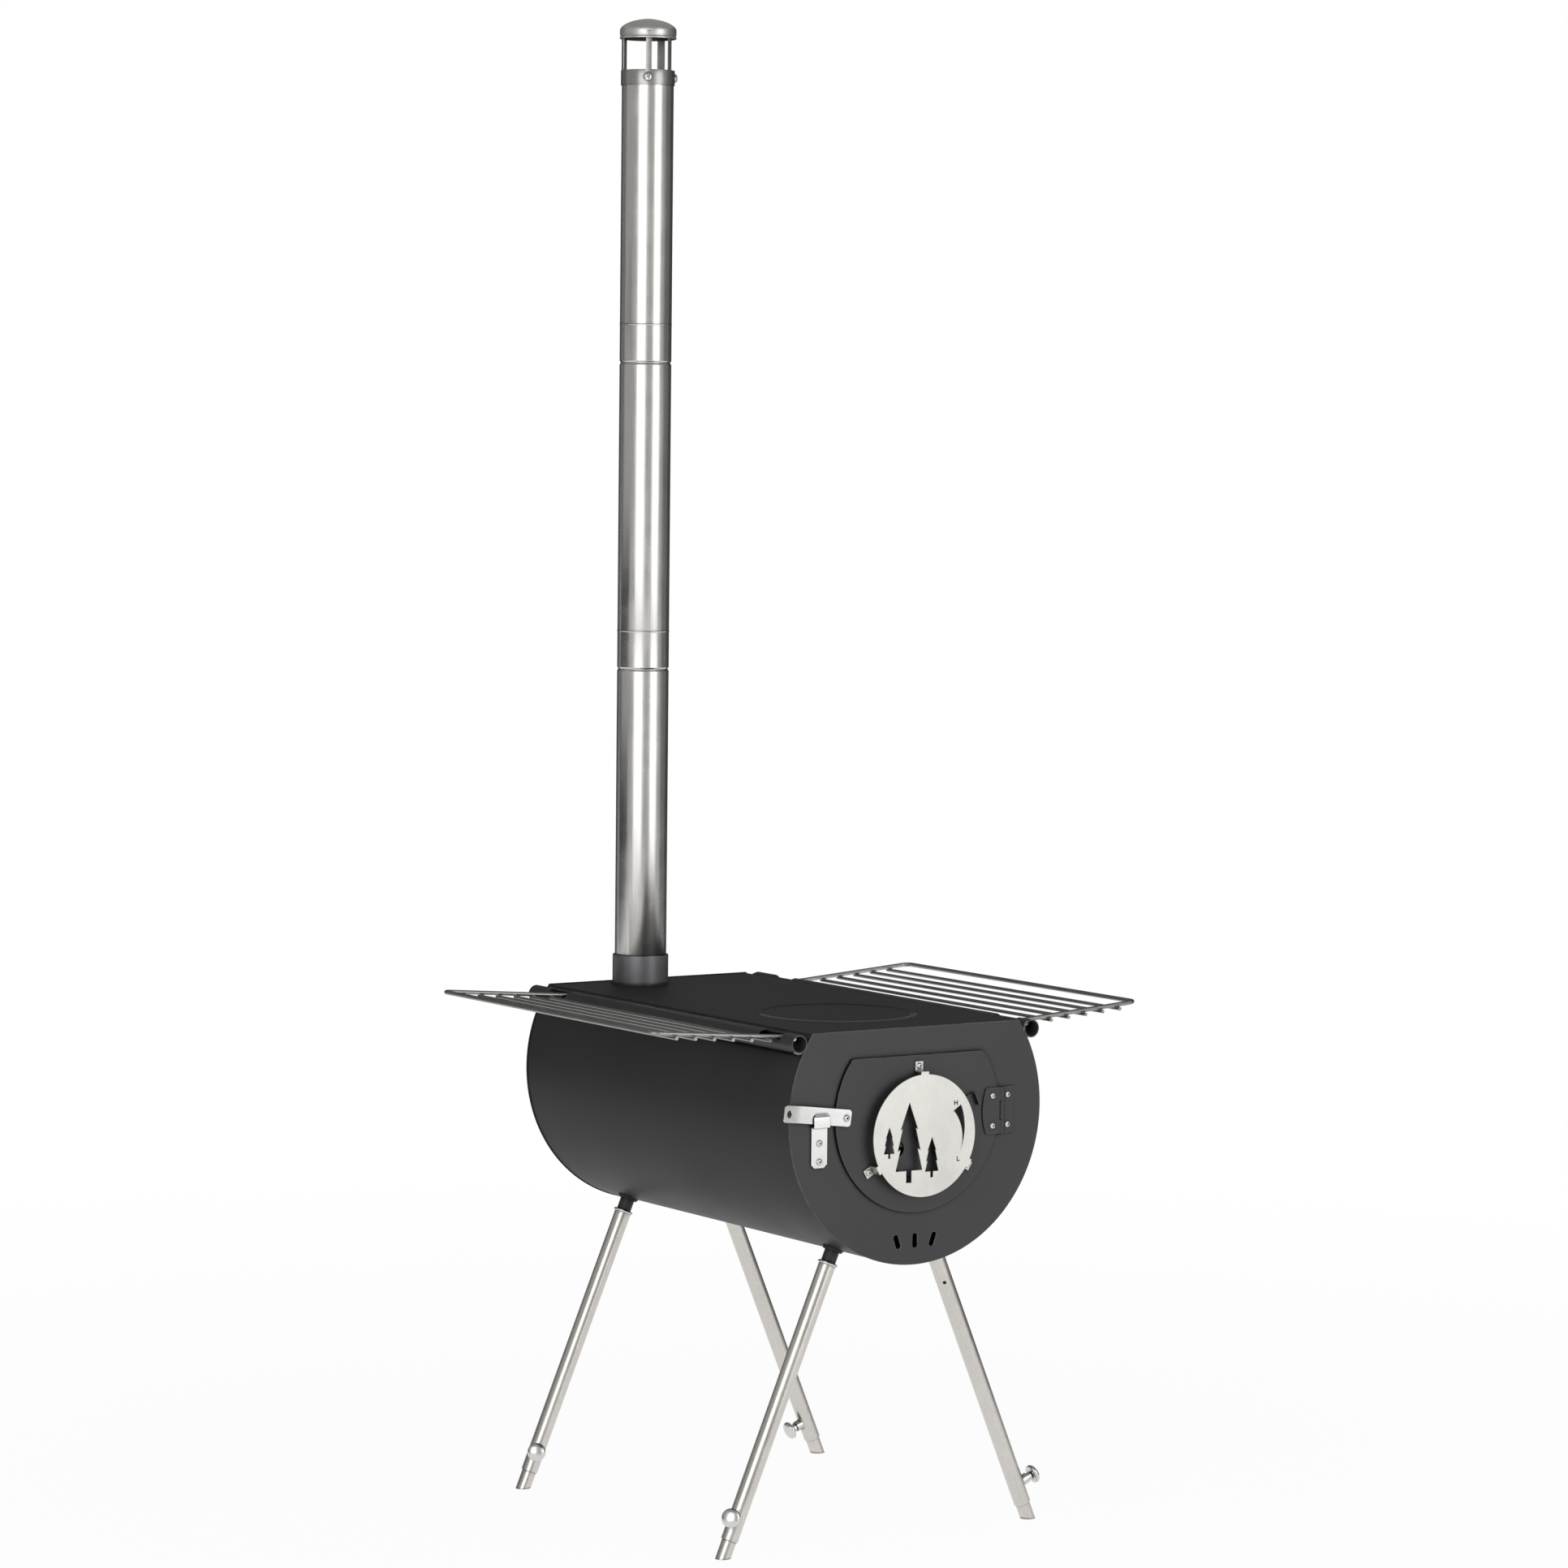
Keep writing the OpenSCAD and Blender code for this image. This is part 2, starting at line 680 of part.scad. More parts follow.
module arrestor_screws() {
    color(bright) translate([-flue_left, flue_y, cage_low + band_h/2])
        for (i = [-1:1]) rotate(band_screw_turn + i*90) rotate([0, 90, 0]) {
            translate([0, 0, pipe_r]) cylinder(d = band_shank_d, h = cage_t + band_screw_h/2);
            translate([0, 0, cage_r]) cylinder(d = band_screw_d, h = band_screw_h/2);
            translate([0, 0, cage_r + band_screw_h/2])
                cylinder(d1 = band_screw_d, d2 = band_screw_d/2, h = band_screw_h/2);
        }
}

// Stands what follows on a leg's axis: z runs outwards from the barrel's axis
module on_leg(side, y) {
    translate([0, y, axis_h]) rotate([0, 180 - side*leg_angle, 0]) children();
}

module leg_socket(side, y) {
    color(steel_black) on_leg(side, y) difference() {
        union() {
            translate([0, 0, barrel_r/2]) cylinder(r = leg_stub_r, h = leg_top_r + stub_in - barrel_r/2);
            translate([0, 0, barrel_r/2]) cylinder(d = flange_d, h = barrel_r/2 + flange_h);
        }
        rotate([90, 0, 0]) cylinder(r = barrel_r, h = 2*flange_d, center = true, $fn = 180);
    }
}

module leg_tube(side, y, bearing) {
    turn = 180 - bearing;
    color(stainless) on_leg(side, y) difference() {
        union() {
            translate([0, 0, leg_top_r]) cylinder(d = leg_d, h = leg_l);
            translate([0, 0, leg_top_r + rim_r]) rotate_extrude()
                translate([leg_d/2, 0]) circle(r = rim_r, $fn = 24);
            rotate(turn) translate([0, 0, thumb_r]) rotate([0, 90, 0])
                cylinder(d = boss_d, h = boss_top);
        }
        translate([0, 0, leg_top_r - over]) cylinder(r = leg_bore_r, h = leg_l + 2*over);
        rotate(turn) translate([0, 0, thumb_r]) rotate([0, 90, 0])
            cylinder(d = thumb_d + 2*run_gap, h = boss_top + over);
        rotate(turn + leg_hole_turn) translate([0, 0, leg_top_r + leg_hole_low])
            rotate([0, 90, 0]) cylinder(d = leg_hole_d, h = leg_d);
    }
}

module foot_leg(side, y) {
    color(stainless) difference() {
        on_leg(side, y) translate([0, 0, leg_end_r - leg_inside]) difference() {
            cylinder(r = leg_stub_r, h = foot_r - leg_end_r + leg_inside + leg_d);
            translate([0, 0, -over])
                cylinder(r = leg_stub_r - leg_t, h = foot_r + leg_inside + 2*leg_d);
        }
        translate([-far, -far, -2*far]) cube([2*far, 2*far, 2*far]);
    }
}

module thumb_screw(side, y, bearing) {
    tip = leg_stub_r + face_gap;
    neck = boss_top + face_gap;
    head = neck + thumb_neck_l;
    color(bright) on_leg(side, y) rotate(180 - bearing) translate([0, 0, thumb_r])
        rotate([0, 90, 0]) {
            translate([0, 0, tip]) cylinder(d = thumb_d, h = head - tip);
            translate([0, 0, neck]) cylinder(d = thumb_neck_d, h = thumb_neck_l);
            translate([0, 0, head]) intersection() {
                cylinder(d = thumb_head_d, h = thumb_head_h);
                translate([0, 0, thumb_head_h - thumb_head_d]) sphere(r = thumb_head_d);
            }
        }
}

// The door's outline, with its two top corners rounded
module door_outline() {
    inner = door_r - door_corner;
    cy = door_top - door_corner;
    cx = sqrt(pow(inner, 2) - pow(cy, 2));
    difference() {
        d_outline(door_r, door_top);
        for (side = [-1, 1]) difference() {
            translate([side > 0 ? cx : -cx - 2*door_corner, cy])
                square([2*door_corner, 2*door_corner]);
            translate([side*cx, cy]) circle(r = door_corner);
        }
    }
}

module air_holes(turn) {
    for (i = [0:2]) rotate(turn + i*120) translate([air_hole_ring, 0]) circle(d = air_hole_d);
}

module door_panel() {
    color(steel_black) translate([0, 0, axis_h]) along_y(door_face, door_face + door_t)
        difference() {
            door_outline();
            translate([0, -disc_low]) air_holes(air_hole_turn + shutter_open);
            translate([0, -disc_low]) circle(d = pivot_d + 2*run_gap);
            translate([-latch_x, latch_z]) circle(d = pivot_d + 2*run_gap);
            for (up = [-1, 1]) translate([hinge_x - door_rivet_in, hinge_z + up*hinge_rivet_up])
                circle(d = rivet_shank_d + 2*run_gap);
            for (turn = tab_turns) translate([0, -disc_low]) rotate(turn)
                translate([rivet_pad_r, 0]) circle(d = rivet_shank_d + 2*run_gap);
        }
}

module hinge_leaf_door() {
    mid = knuckle_share*hinge_h/2 + knuckle_gap;
    bow_r = (pow(hinge_h/2, 2) + pow(door_leaf_bow, 2))/(2*door_leaf_bow);
    back = door_face - leaf_t;
    color(steel_black) translate([0, 0, axis_h]) difference() {
        union() {
            along_y(back, door_face) difference() {
                translate([hinge_x - door_leaf_w, hinge_z - hinge_h/2])
                    square([door_leaf_w, hinge_h]);
                difference() {
                    translate([hinge_x - door_leaf_w - over, hinge_z - hinge_h/2 - over])
                        square([door_leaf_bow + over, hinge_h + 2*over]);
                    translate([hinge_x - door_leaf_w + bow_r, hinge_z]) circle(r = bow_r, $fn = 180);
                }
                translate([hinge_x - knuckle_d/2 - knuckle_gap, hinge_z - mid])
                    square([knuckle_d + knuckle_gap, 2*mid]);
            }
            knuckle(hinge_z - hinge_h/2, hinge_z - mid);
            knuckle(hinge_z + mid, hinge_z + hinge_h/2);
        }
        pin_bore(run_gap);
        for (up = [-1, 1])
            translate([hinge_x - door_rivet_in, door_face + over, hinge_z + up*hinge_rivet_up])
                rotate([90, 0, 0]) cylinder(d = rivet_shank_d + 2*run_gap, h = leaf_t + 2*over);
    }
}

module door_hinge_rivets() {
    color(bright) translate([0, 0, axis_h]) for (up = [-1, 1])
        rivet(hinge_x - door_rivet_in, door_face - leaf_t, hinge_z + up*hinge_rivet_up,
            leaf_t + door_t);
}

// A fir tree of three stacked tiers on a trunk, standing at the origin
module fir(h) {
    right_shares = [[0.04, 0], [0.04, 0.15], [0.2, 0.15], [0.13, 0.42], [0.17, 0.4], [0.1, 0.68],
        [0.13, 0.66], [0, 1]];
    left_shares = [for (i = [len(right_shares) - 2:-1:0]) [-right_shares[i][0], right_shares[i][1]]];
    polygon([for (p = concat(right_shares, left_shares)) h*p]);
}

// Stands what follows at a distance from the disc's centre, in a direction, upright
module at_bearing(r, turn) {
    translate([r*cos(turn), r*sin(turn)]) children();
}

// The scale's outline: it widens steadily faster from its tip to its wide end
module scale_outline() {
    steps = 20;
    widening = 1.5;
    turns = [for (i = [0:steps]) scale_from + i*(scale_to - scale_from)/steps];
    halves = [for (i = [0:steps]) scale_w/2*pow(i/steps, widening)];
    outer = [for (i = [0:steps]) (scale_r + halves[i])*[cos(turns[i]), sin(turns[i])]];
    inner = [for (i = [steps:-1:1]) (scale_r - halves[i])*[cos(turns[i]), sin(turns[i])]];
    polygon(concat(outer, inner));
}

// The cut-outs of the cover: a stand of fir trees, and a scale that tapers from H to L
module cover_cuts() {
    h_wide = letter_width_shares[0]*letter_h;
    l_wide = letter_width_shares[1]*letter_h;
    for (t = tree_shares) translate([t[0]*disc_r, t[1]*disc_r]) fir(t[2]*disc_r);
    scale_outline();
    at_bearing(scale_r + letter_out, letter_h_turn) {
        for (side = [-1, 1]) translate([side*(h_wide - stroke_w)/2, 0])
            square([stroke_w, letter_h], center = true);
        square([h_wide, stroke_w], center = true);
    }
    at_bearing(scale_r + letter_out, letter_l_turn) translate([-l_wide/2, -letter_h/2]) {
        square([stroke_w, letter_h]);
        square([l_wide, stroke_w]);
    }
}

module damper_cover() {
    color(bright) translate([0, 0, axis_h - disc_low]) {
        along_y(disc_front, disc_back) difference() {
            union() {
                circle(r = disc_r);
                for (turn = tab_turns) rotate(turn)
                    translate([0, -tab_w/2]) square([tab_root, tab_w]);
            }
            cover_cuts();
        }
        along_y(disc_front, door_face) for (turn = tab_turns) rotate(turn)
            translate([tab_root - disc_t, -tab_w/2]) square([disc_t, tab_w]);
        along_y(door_face - disc_t, door_face) for (turn = tab_turns) rotate(turn)
            difference() {
                translate([tab_root - disc_t, -tab_w/2]) square([pad_l + disc_t, tab_w]);
                translate([rivet_pad_r, 0]) circle(d = rivet_shank_d + 2*run_gap);
            }
    }
}

module cover_rivets() {
    color(bright) translate([0, 0, axis_h]) for (turn = tab_turns)
        rivet(rivet_pad_r*cos(turn), door_face - disc_t, rivet_pad_r*sin(turn) - disc_low,
            disc_t + door_t);
}

module shutter_pivot() {
    shank = door_t + door_face - shutter_front + face_gap;
    color(bright) translate([0, door_face + door_t, axis_h - disc_low]) rotate([90, 0, 0]) {
        cylinder(d = pivot_d, h = shank);
        translate([0, 0, shank]) cylinder(d = shutter_head_share*pivot_d, h = rivet_h);
    }
}

module latch_pivot() {
    shank = door_t + door_face - latch_front + face_gap;
    head_d = latch_head_share*pivot_d;
    color(bright) translate([-latch_x, door_face + door_t, axis_h + latch_z])
        rotate([90, 0, 0]) {
            cylinder(d = pivot_d, h = shank);
            translate([0, 0, shank]) intersection() {
                cylinder(d = head_d, h = rivet_h);
                translate([0, 0, rivet_h - head_d]) sphere(r = head_d);
            }
        }
}

// The waste outside a rounded corner that points to +X and +Z, through the latch bar
module corner_waste(r) {
    along_y(-latch_t - over, over) difference() {
        square([r + over, r + over]);
        circle(r = r);
    }
}

// A strip bent outwards at its left end into a grip with one hole, all corners rounded
module latch_bar() {
    tail = latch_w/3;
    corner = latch_w/5;
    grip_back = [-latch_l - grip_l*cos(grip_bend), -grip_l*sin(grip_bend)];
    grip_front = grip_back + latch_t*[sin(grip_bend), -cos(grip_bend)];
    color(bright) translate([-latch_x, latch_back, axis_h + latch_z]) rotate([0, latch_lean, 0])
        difference() {
            translate([0, 0, -latch_w/2]) linear_extrude(height = latch_w)
                polygon([[tail, 0], [-latch_l, 0], grip_back, grip_front,
                    [-latch_l + latch_t*tan(grip_bend/2), -latch_t], [tail, -latch_t]]);
            for (up = [0, 1]) mirror([0, 0, up]) {
                translate([tail - corner, 0, latch_w/2 - corner]) corner_waste(corner);
                translate([-latch_l, 0, 0]) rotate([0, 0, grip_bend])
                    translate([corner - grip_l, 0, latch_w/2 - corner]) mirror([1, 0, 0])
                        corner_waste(corner);
            }
            along_y(-latch_t - over, over) circle(d = pivot_d + 2*run_gap);
            translate([-latch_l, 0, 0]) rotate([0, 0, grip_bend])
                translate([grip_hole_d - grip_l, 0, 0]) along_y(-latch_t - over, over)
                    circle(d = grip_hole_d);
        }
}

module air_shutter() {
    color(steel_black) translate([0, 0, axis_h - disc_low]) {
        along_y(shutter_front, shutter_back) difference() {
            union() {
                circle(r = shutter_r);
                rotate(lever_turn) translate([0, -lever_w/2]) square([lever_reach, lever_w]);
            }
            air_holes(air_hole_turn);
            circle(d = pivot_d + 2*run_gap);
        }
        along_y(shutter_front - lever_lip, shutter_back) rotate(lever_turn)
            translate([lever_reach - shutter_t, -lever_w/2]) square([shutter_t, lever_w]);
    }
}

// A straight wire from one point to another along one axis, all in the rack's own frame
module wire_x(x0, x1, y, d) {
    translate([x0, y, 0]) rotate([0, 90, 0]) cylinder(d = d, h = x1 - x0, $fn = 32);
}

module wire_y(y0, y1, x, z, d) {
    translate([x, y1, z]) rotate([90, 0, 0]) cylinder(d = d, h = y1 - y0, $fn = 32);
}

module wire_bend(x, y, turn) {
    translate([x, y, 0]) rotate(turn) rotate_extrude(angle = 90, $fn = 48)
        translate([rack_bend_r, 0]) circle(d = wire_d, $fn = 32);
}

// The rack for the right hand side, with its pivot along Y through the origin
module rack_wires() {
    y0 = front_y + arm_front;
    y1 = y0 + arm_span;
    out = rack_reach - rack_bend_r;
    hang = (wire_d + bar_d)/2 - face_gap;
    for (y = [y0, y1]) {
        wire_y(y - stub_l, y, 0, 0, wire_d);
        translate([0, y, 0]) sphere(d = wire_d, $fn = 32);
        wire_x(0, out, y, wire_d);
    }
    wire_bend(out, y0 + rack_bend_r, -90);
    wire_bend(out, y1 - rack_bend_r, 0);
    wire_y(y0 + rack_bend_r, y1 - rack_bend_r, rack_reach, 0, wire_d);
    for (i = [0:bar_n - 1])
        wire_y(y0 - bar_over, y1 + bar_over, bar_first + i*bar_pitch, -hang, bar_d);
}

module side_rack(side) {
    color(wire_grey) translate([side*rack_tube_x, 0, axis_h + rack_tube_z + rack_pivot_up])
        mirror([side < 0 ? 1 : 0, 0, 0]) rotate([0, -rack_rise, 0]) rack_wires();
}

barrel_shell();
cook_top();
front_plate();
rear_plate();
fire_grate();
flue_collar();
rack_tube(-1);  // rack_tube_left
rack_tube(1);  // rack_tube_right
latch_keeper();
keeper_rivets();
hinge_leaf_fixed();
hinge_pin();
frame_hinge_rivets();
pipe_section(top_z, lower_rim, false, true);  // pipe_lower
pipe_section(lower_rim, middle_rim, true, true);  // pipe_middle
pipe_section(middle_rim, upper_end, true, false);  // pipe_upper
arrestor_cage();
arrestor_dome();
arrestor_screws();
leg_socket(-1, leg_front_y);  // leg_socket_front_left
leg_socket(1, leg_front_y);  // leg_socket_front_right
leg_socket(-1, leg_rear_y);  // leg_socket_rear_left
leg_socket(1, leg_rear_y);  // leg_socket_rear_right
leg_tube(-1, leg_front_y, thumb_fl_turn);  // leg_tube_front_left
leg_tube(1, leg_front_y, thumb_fr_turn);  // leg_tube_front_right
leg_tube(-1, leg_rear_y, thumb_rl_turn);  // leg_tube_rear_left
leg_tube(1, leg_rear_y, thumb_rr_turn);  // leg_tube_rear_right
foot_leg(-1, leg_front_y);  // foot_leg_front_left
foot_leg(1, leg_front_y);  // foot_leg_front_right
foot_leg(-1, leg_rear_y);  // foot_leg_rear_left
foot_leg(1, leg_rear_y);  // foot_leg_rear_right
thumb_screw(-1, leg_front_y, thumb_fl_turn);  // thumb_screw_front_left
thumb_screw(1, leg_front_y, thumb_fr_turn);  // thumb_screw_front_right
thumb_screw(-1, leg_rear_y, thumb_rl_turn);  // thumb_screw_rear_left
thumb_screw(1, leg_rear_y, thumb_rr_turn);  // thumb_screw_rear_right
door_panel();
hinge_leaf_door();
door_hinge_rivets();
damper_cover();
cover_rivets();
shutter_pivot();
latch_pivot();
latch_bar();
air_shutter();
side_rack(-1);  // side_rack_left
side_rack(1);  // side_rack_right
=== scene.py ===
"""Tent wood stove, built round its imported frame: eased sheet metal, rolled flue pipe, spark
arrestor, rivets, thumb screws and welds, with their finishes, in a plain pale studio.
Metres, +Z up, the fire door faces -Y. Lengths are typed in millimetres, and those of the
studio in metres."""
import json
import math

import bpy
from bpy.props import FloatProperty, FloatVectorProperty, PointerProperty
from mathutils import Matrix, Vector

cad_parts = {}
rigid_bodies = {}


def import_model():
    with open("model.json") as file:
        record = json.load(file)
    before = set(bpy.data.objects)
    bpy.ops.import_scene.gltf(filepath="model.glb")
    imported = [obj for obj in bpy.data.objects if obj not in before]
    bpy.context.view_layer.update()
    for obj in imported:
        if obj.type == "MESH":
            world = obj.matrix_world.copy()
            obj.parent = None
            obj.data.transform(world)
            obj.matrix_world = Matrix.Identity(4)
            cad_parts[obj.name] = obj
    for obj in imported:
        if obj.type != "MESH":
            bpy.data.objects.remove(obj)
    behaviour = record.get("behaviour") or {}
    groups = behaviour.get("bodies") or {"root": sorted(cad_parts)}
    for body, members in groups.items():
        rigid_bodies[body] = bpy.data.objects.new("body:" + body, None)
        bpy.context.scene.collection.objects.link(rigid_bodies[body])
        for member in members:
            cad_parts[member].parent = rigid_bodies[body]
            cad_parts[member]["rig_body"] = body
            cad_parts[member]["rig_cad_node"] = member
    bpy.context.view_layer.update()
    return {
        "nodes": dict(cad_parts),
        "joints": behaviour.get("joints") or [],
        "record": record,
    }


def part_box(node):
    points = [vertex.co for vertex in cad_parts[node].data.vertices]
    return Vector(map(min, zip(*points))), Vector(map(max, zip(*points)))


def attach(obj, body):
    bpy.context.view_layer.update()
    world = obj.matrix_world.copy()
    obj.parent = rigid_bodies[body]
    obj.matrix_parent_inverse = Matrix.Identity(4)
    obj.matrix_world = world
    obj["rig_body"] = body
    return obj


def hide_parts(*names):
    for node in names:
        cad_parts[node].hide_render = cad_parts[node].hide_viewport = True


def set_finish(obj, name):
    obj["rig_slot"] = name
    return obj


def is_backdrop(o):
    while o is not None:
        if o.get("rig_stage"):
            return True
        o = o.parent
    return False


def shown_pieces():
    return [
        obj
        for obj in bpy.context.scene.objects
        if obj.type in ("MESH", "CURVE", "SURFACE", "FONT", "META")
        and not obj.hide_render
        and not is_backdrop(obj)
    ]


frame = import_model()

bl_info = {
    "name": "Tent Wood Stove",
    "version": (1, 0, 0),
    "blender": (4, 5, 0),
    "location": "View3D > Sidebar > Stove",
    "description": "Dresses the packed frame of a tent wood stove and sets its studio",
    "category": "Object",
}

MM = 0.001
MICROMETRE = 0.001 * MM
NODES = frame["nodes"]
SLOT_OF = {part["node"]: part["material_slot"] for part in frame["record"]["subparts"]}
JOINTS = {joint["name"]: joint for joint in frame["joints"]}
CORNERS = ("front_left", "front_right", "rear_left", "rear_right")
UP = Vector((0, 0, 1))
FORWARD = Vector((0, -1, 0))


# Settings

def length(name, text, millimetres):
    """A length setting, kept in metres."""
    return FloatProperty(name=name, description=text, default=millimetres * MM, min=0,
                         precision=5, subtype="DISTANCE", unit="LENGTH")


def share(name, text, value, high=1.0):
    """A setting from nothing to high."""
    return FloatProperty(name=name, description=text, default=value, min=0, max=high)


def angle(name, text, degrees):
    """An angle setting, kept in radians."""
    return FloatProperty(name=name, description=text, default=math.radians(degrees),
                         subtype="ANGLE", unit="ROTATION")


def colour(name, text, value):
    """A colour setting, in linear red, green and blue."""
    return FloatVectorProperty(name=name, description=text, default=value, size=3,
                               min=0, max=1, subtype="COLOR")


class StoveShape(bpy.types.PropertyGroup):
    """Sizes of the details that are added round the frame."""
    plate_ease: length("Plate edges", "Rounding of the end plates' edges", 0.6)
    top_ease: length("Cook top edge", "Rounding of the cook top's folded edge", 0.9)
    door_ease: length("Door edge", "Rounding of the pressed door's edge", 0.7)
    strip_ease: length("Strip edges", "Rounding of the latch and keeper's edges", 0.3)
    thin_ease: length("Thin edges", "Rounding of laser-cut sheet edges", 0.15)
    groove_depth: length("Groove depth", "Depth of the pipe's rolled grooves", 1.2)
    groove_height: length("Groove height", "Height of the pipe's rolled grooves", 5.2)
    socket_length: length("Socket length", "Distance from a rim down to its groove", 44.5)
    rim_round: length("Rim rounding", "Rounding of the pipe's rims", 0.55)
    pipe_wall: length("Pipe wall", "Wall of the flue pipe", 0.8)
    dome_rim: length("Dome rim", "Height of the dome's straight rim", 9.5)
    dome_sheet: length("Dome sheet", "Thickness of the dome's sheet", 0.5)
    cage_sheet: length("Cage sheet", "Thickness of the arrestor's rolled sheet", 1)
    band_height: length("Band height", "Height of the arrestor's band under its windows", 17)
    window_height: length("Window height", "Height of the arrestor's windows", 36)
    screw_head: length("Band screw head", "Diameter of the arrestor's screw heads", 10)
    rivet_head: length("Rivet head", "Diameter of a pop rivet's flange", 7.0)
    weld_bead: length("Weld bead", "Thickness of the weld beads", 2.0)
    weld_rough: length("Weld ripple", "Ripple of the weld beads", 0.35)


class StoveFinish(bpy.types.PropertyGroup):
    """Colours and gloss of the stove's finishes."""
    paint: colour("Black paint", "Heat-proof paint on the barrel", (0.036, 0.035, 0.037))
    paint_rough: share("Paint roughness", "Roughness of the black paint", 0.5)
    paint_level: share("Paint gloss level", "Specular level of the black paint", 0.3)
    top_level: share("Cook top gloss level", "Specular level of the cook top's paint", 0.03)
    collar_metal: share("Collar metal", "Metallic share of the collar's thin coat", 0.6)
    pipe: colour("Pipe steel", "Stainless steel of the flue pipe", (0.62, 0.61, 0.59))
    pipe_rough: share("Pipe roughness", "Roughness of the pipe", 0.25)
    leg: colour("Leg steel", "Satin stainless steel of the legs", (0.61, 0.585, 0.55))
    leg_rough: share("Leg roughness", "Roughness of the legs", 0.27)
    cover: colour("Cover steel", "Stainless sheet of the damper cover", (0.64, 0.625, 0.59))
    cover_rough: share("Cover roughness", "Roughness of the damper cover", 0.42)
    zinc: colour("Bright zinc", "Zinc plate of the latch and fasteners", (0.64, 0.64, 0.63))
    zinc_rough: share("Zinc roughness", "Roughness of the zinc plate", 0.27)
    wire: colour("Plated wire", "Plating of the side racks", (0.40, 0.395, 0.38))
    wire_rough: share("Wire roughness", "Roughness of the plated wire", 0.2)
    grate: colour("Grate steel", "Mill finish of the fire grate", (0.10, 0.095, 0.09))


class StoveStage(bpy.types.PropertyGroup):
    """The studio: lamps, ground and camera."""
    sky: share("Room level", "Level of the even grey room light", 0.34, 2.0)
    left_box: share("Left softbox", "Radiance of the left softbox", 1.7, 20.0)
    right_box: share("Right softbox", "Radiance of the right softbox", 1.8, 20.0)
    low_box: share("Low front softbox", "Radiance of the low front softbox", 5.0, 40.0)
    wall_grey: share("Wall grey", "Level of the grey wall that metal reflects", 0.46)
    floor_white: share("Floor white", "White added to the floor beside the stove", 0.955)
    lens: FloatProperty(name="Lens", description="Focal length of the camera",
                        default=118.04, min=1, subtype="DISTANCE_CAMERA", unit="CAMERA")
    yaw: angle("Camera turn", "Camera's turn to the right of +Y", 33.28)
    pitch: angle("Camera pitch", "Camera's tilt below the horizon", 4.03)
    roll: angle("Camera roll", "Camera's roll", 0.596)


# Modelling helpers

def clear_selection():
    """Leaves edit mode and deselects every object."""
    active = bpy.context.view_layer.objects.active
    if active is not None and active.mode != "OBJECT":
        leave_edit()
    bpy.ops.object.select_all(action="DESELECT")


def select(*objects):
    """Selects only these objects and makes the first one active."""
    clear_selection()
    for thing in objects:
        thing.select_set(True)
    bpy.context.view_layer.objects.active = objects[0]


def edit(piece, action="SELECT"):
    """Opens a piece in edit mode, with all of it selected or none."""
    select(piece)
    bpy.ops.object.mode_set(mode="EDIT")
    bpy.ops.mesh.select_all(action=action)


def leave_edit():
    """Goes back to object mode."""
    bpy.ops.object.mode_set(mode="OBJECT")


def close_seams():
    """Merges doubled points, turns all faces outwards and leaves edit mode."""
    bpy.ops.mesh.select_all(action="SELECT")
    bpy.ops.mesh.remove_doubles(threshold=MICROMETRE)
    bpy.ops.mesh.normals_make_consistent(inside=False)
    leave_edit()


def new_piece(name, add_primitive, **values):
    """Adds a primitive, names it and fixes its place in its mesh."""
    clear_selection()
    add_primitive(**values)
    piece = rename(bpy.context.active_object, name)
    bpy.ops.object.transform_apply(location=True, rotation=True, scale=True)
    return piece


def rename(piece, name):
    """Names an object and its mesh alike."""
    piece.name = name
    piece.data.name = name
    return piece


def box_mm(node):
    """Lowest and highest corner of a CAD node, in millimetres."""
    low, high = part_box(node)
    return low / MM, high / MM


def middle_mm(node):
    """Middle of a CAD node's box, in millimetres."""
    low, high = box_mm(node)
    return (low + high) / 2


def radius_mm(node):
    """Half the width of a CAD node's box, in millimetres."""
    low, high = box_mm(node)
    return (high.x - low.x) / 2


def heading(degrees):
    """The level direction at an angle from +X towards +Y."""
    turn = math.radians(degrees)
    return Vector((math.cos(turn), math.sin(turn), 0))


def smooth(piece, degrees=32):
    """Shades a piece smooth, but for edges sharper than an angle."""
    select(piece)
    bpy.ops.object.shade_smooth_by_angle(angle=math.radians(degrees))


def modify(piece, kind, **values):
    """Adds a modifier with its values and applies it."""
    select(piece)
    bpy.ops.object.modifier_add(type=kind)
    modifier = piece.modifiers[-1]
    for key, value in values.items():
        setattr(modifier, key, value)
    bpy.ops.object.modifier_apply(modifier=modifier.name)


def lathe(name, profile, segments=64, solid=False):
    """Pulls a ring along a profile of (radius, height) pairs in millimetres, about +Z.
    A solid starts from a closed disc; a profile that ends at radius 0 is closed there."""
    radius, height = profile[0]
    piece = new_piece(name, bpy.ops.mesh.primitive_circle_add, vertices=segments,
                      radius=radius * MM, fill_type="NGON" if solid else "NOTHING",
                      location=(0, 0, height * MM))
    edit(piece)
    for next_radius, next_height in profile[1:]:
        rise = (next_height - height) * MM
        bpy.ops.mesh.extrude_region_move(TRANSFORM_OT_translate={"value": (0, 0, rise)})
        if next_radius == 0:
            bpy.ops.mesh.merge(type="CENTER")
        elif next_radius != radius:
            scale = next_radius / radius
            bpy.ops.transform.resize(value=(scale, scale, 1),
                                     center_override=(0, 0, next_height * MM))
        radius, height = next_radius, next_height
    close_seams()
    return piece


def turn_to(origin, direction, spin=0.0):
    """The matrix that stands +Z along a direction at an origin, after a spin about +Z."""
    turn = Vector(direction).to_track_quat("Z", "Y").to_matrix().to_4x4()
    return Matrix.Translation(Vector(origin)) @ turn @ Matrix.Rotation(spin, 4, "Z")


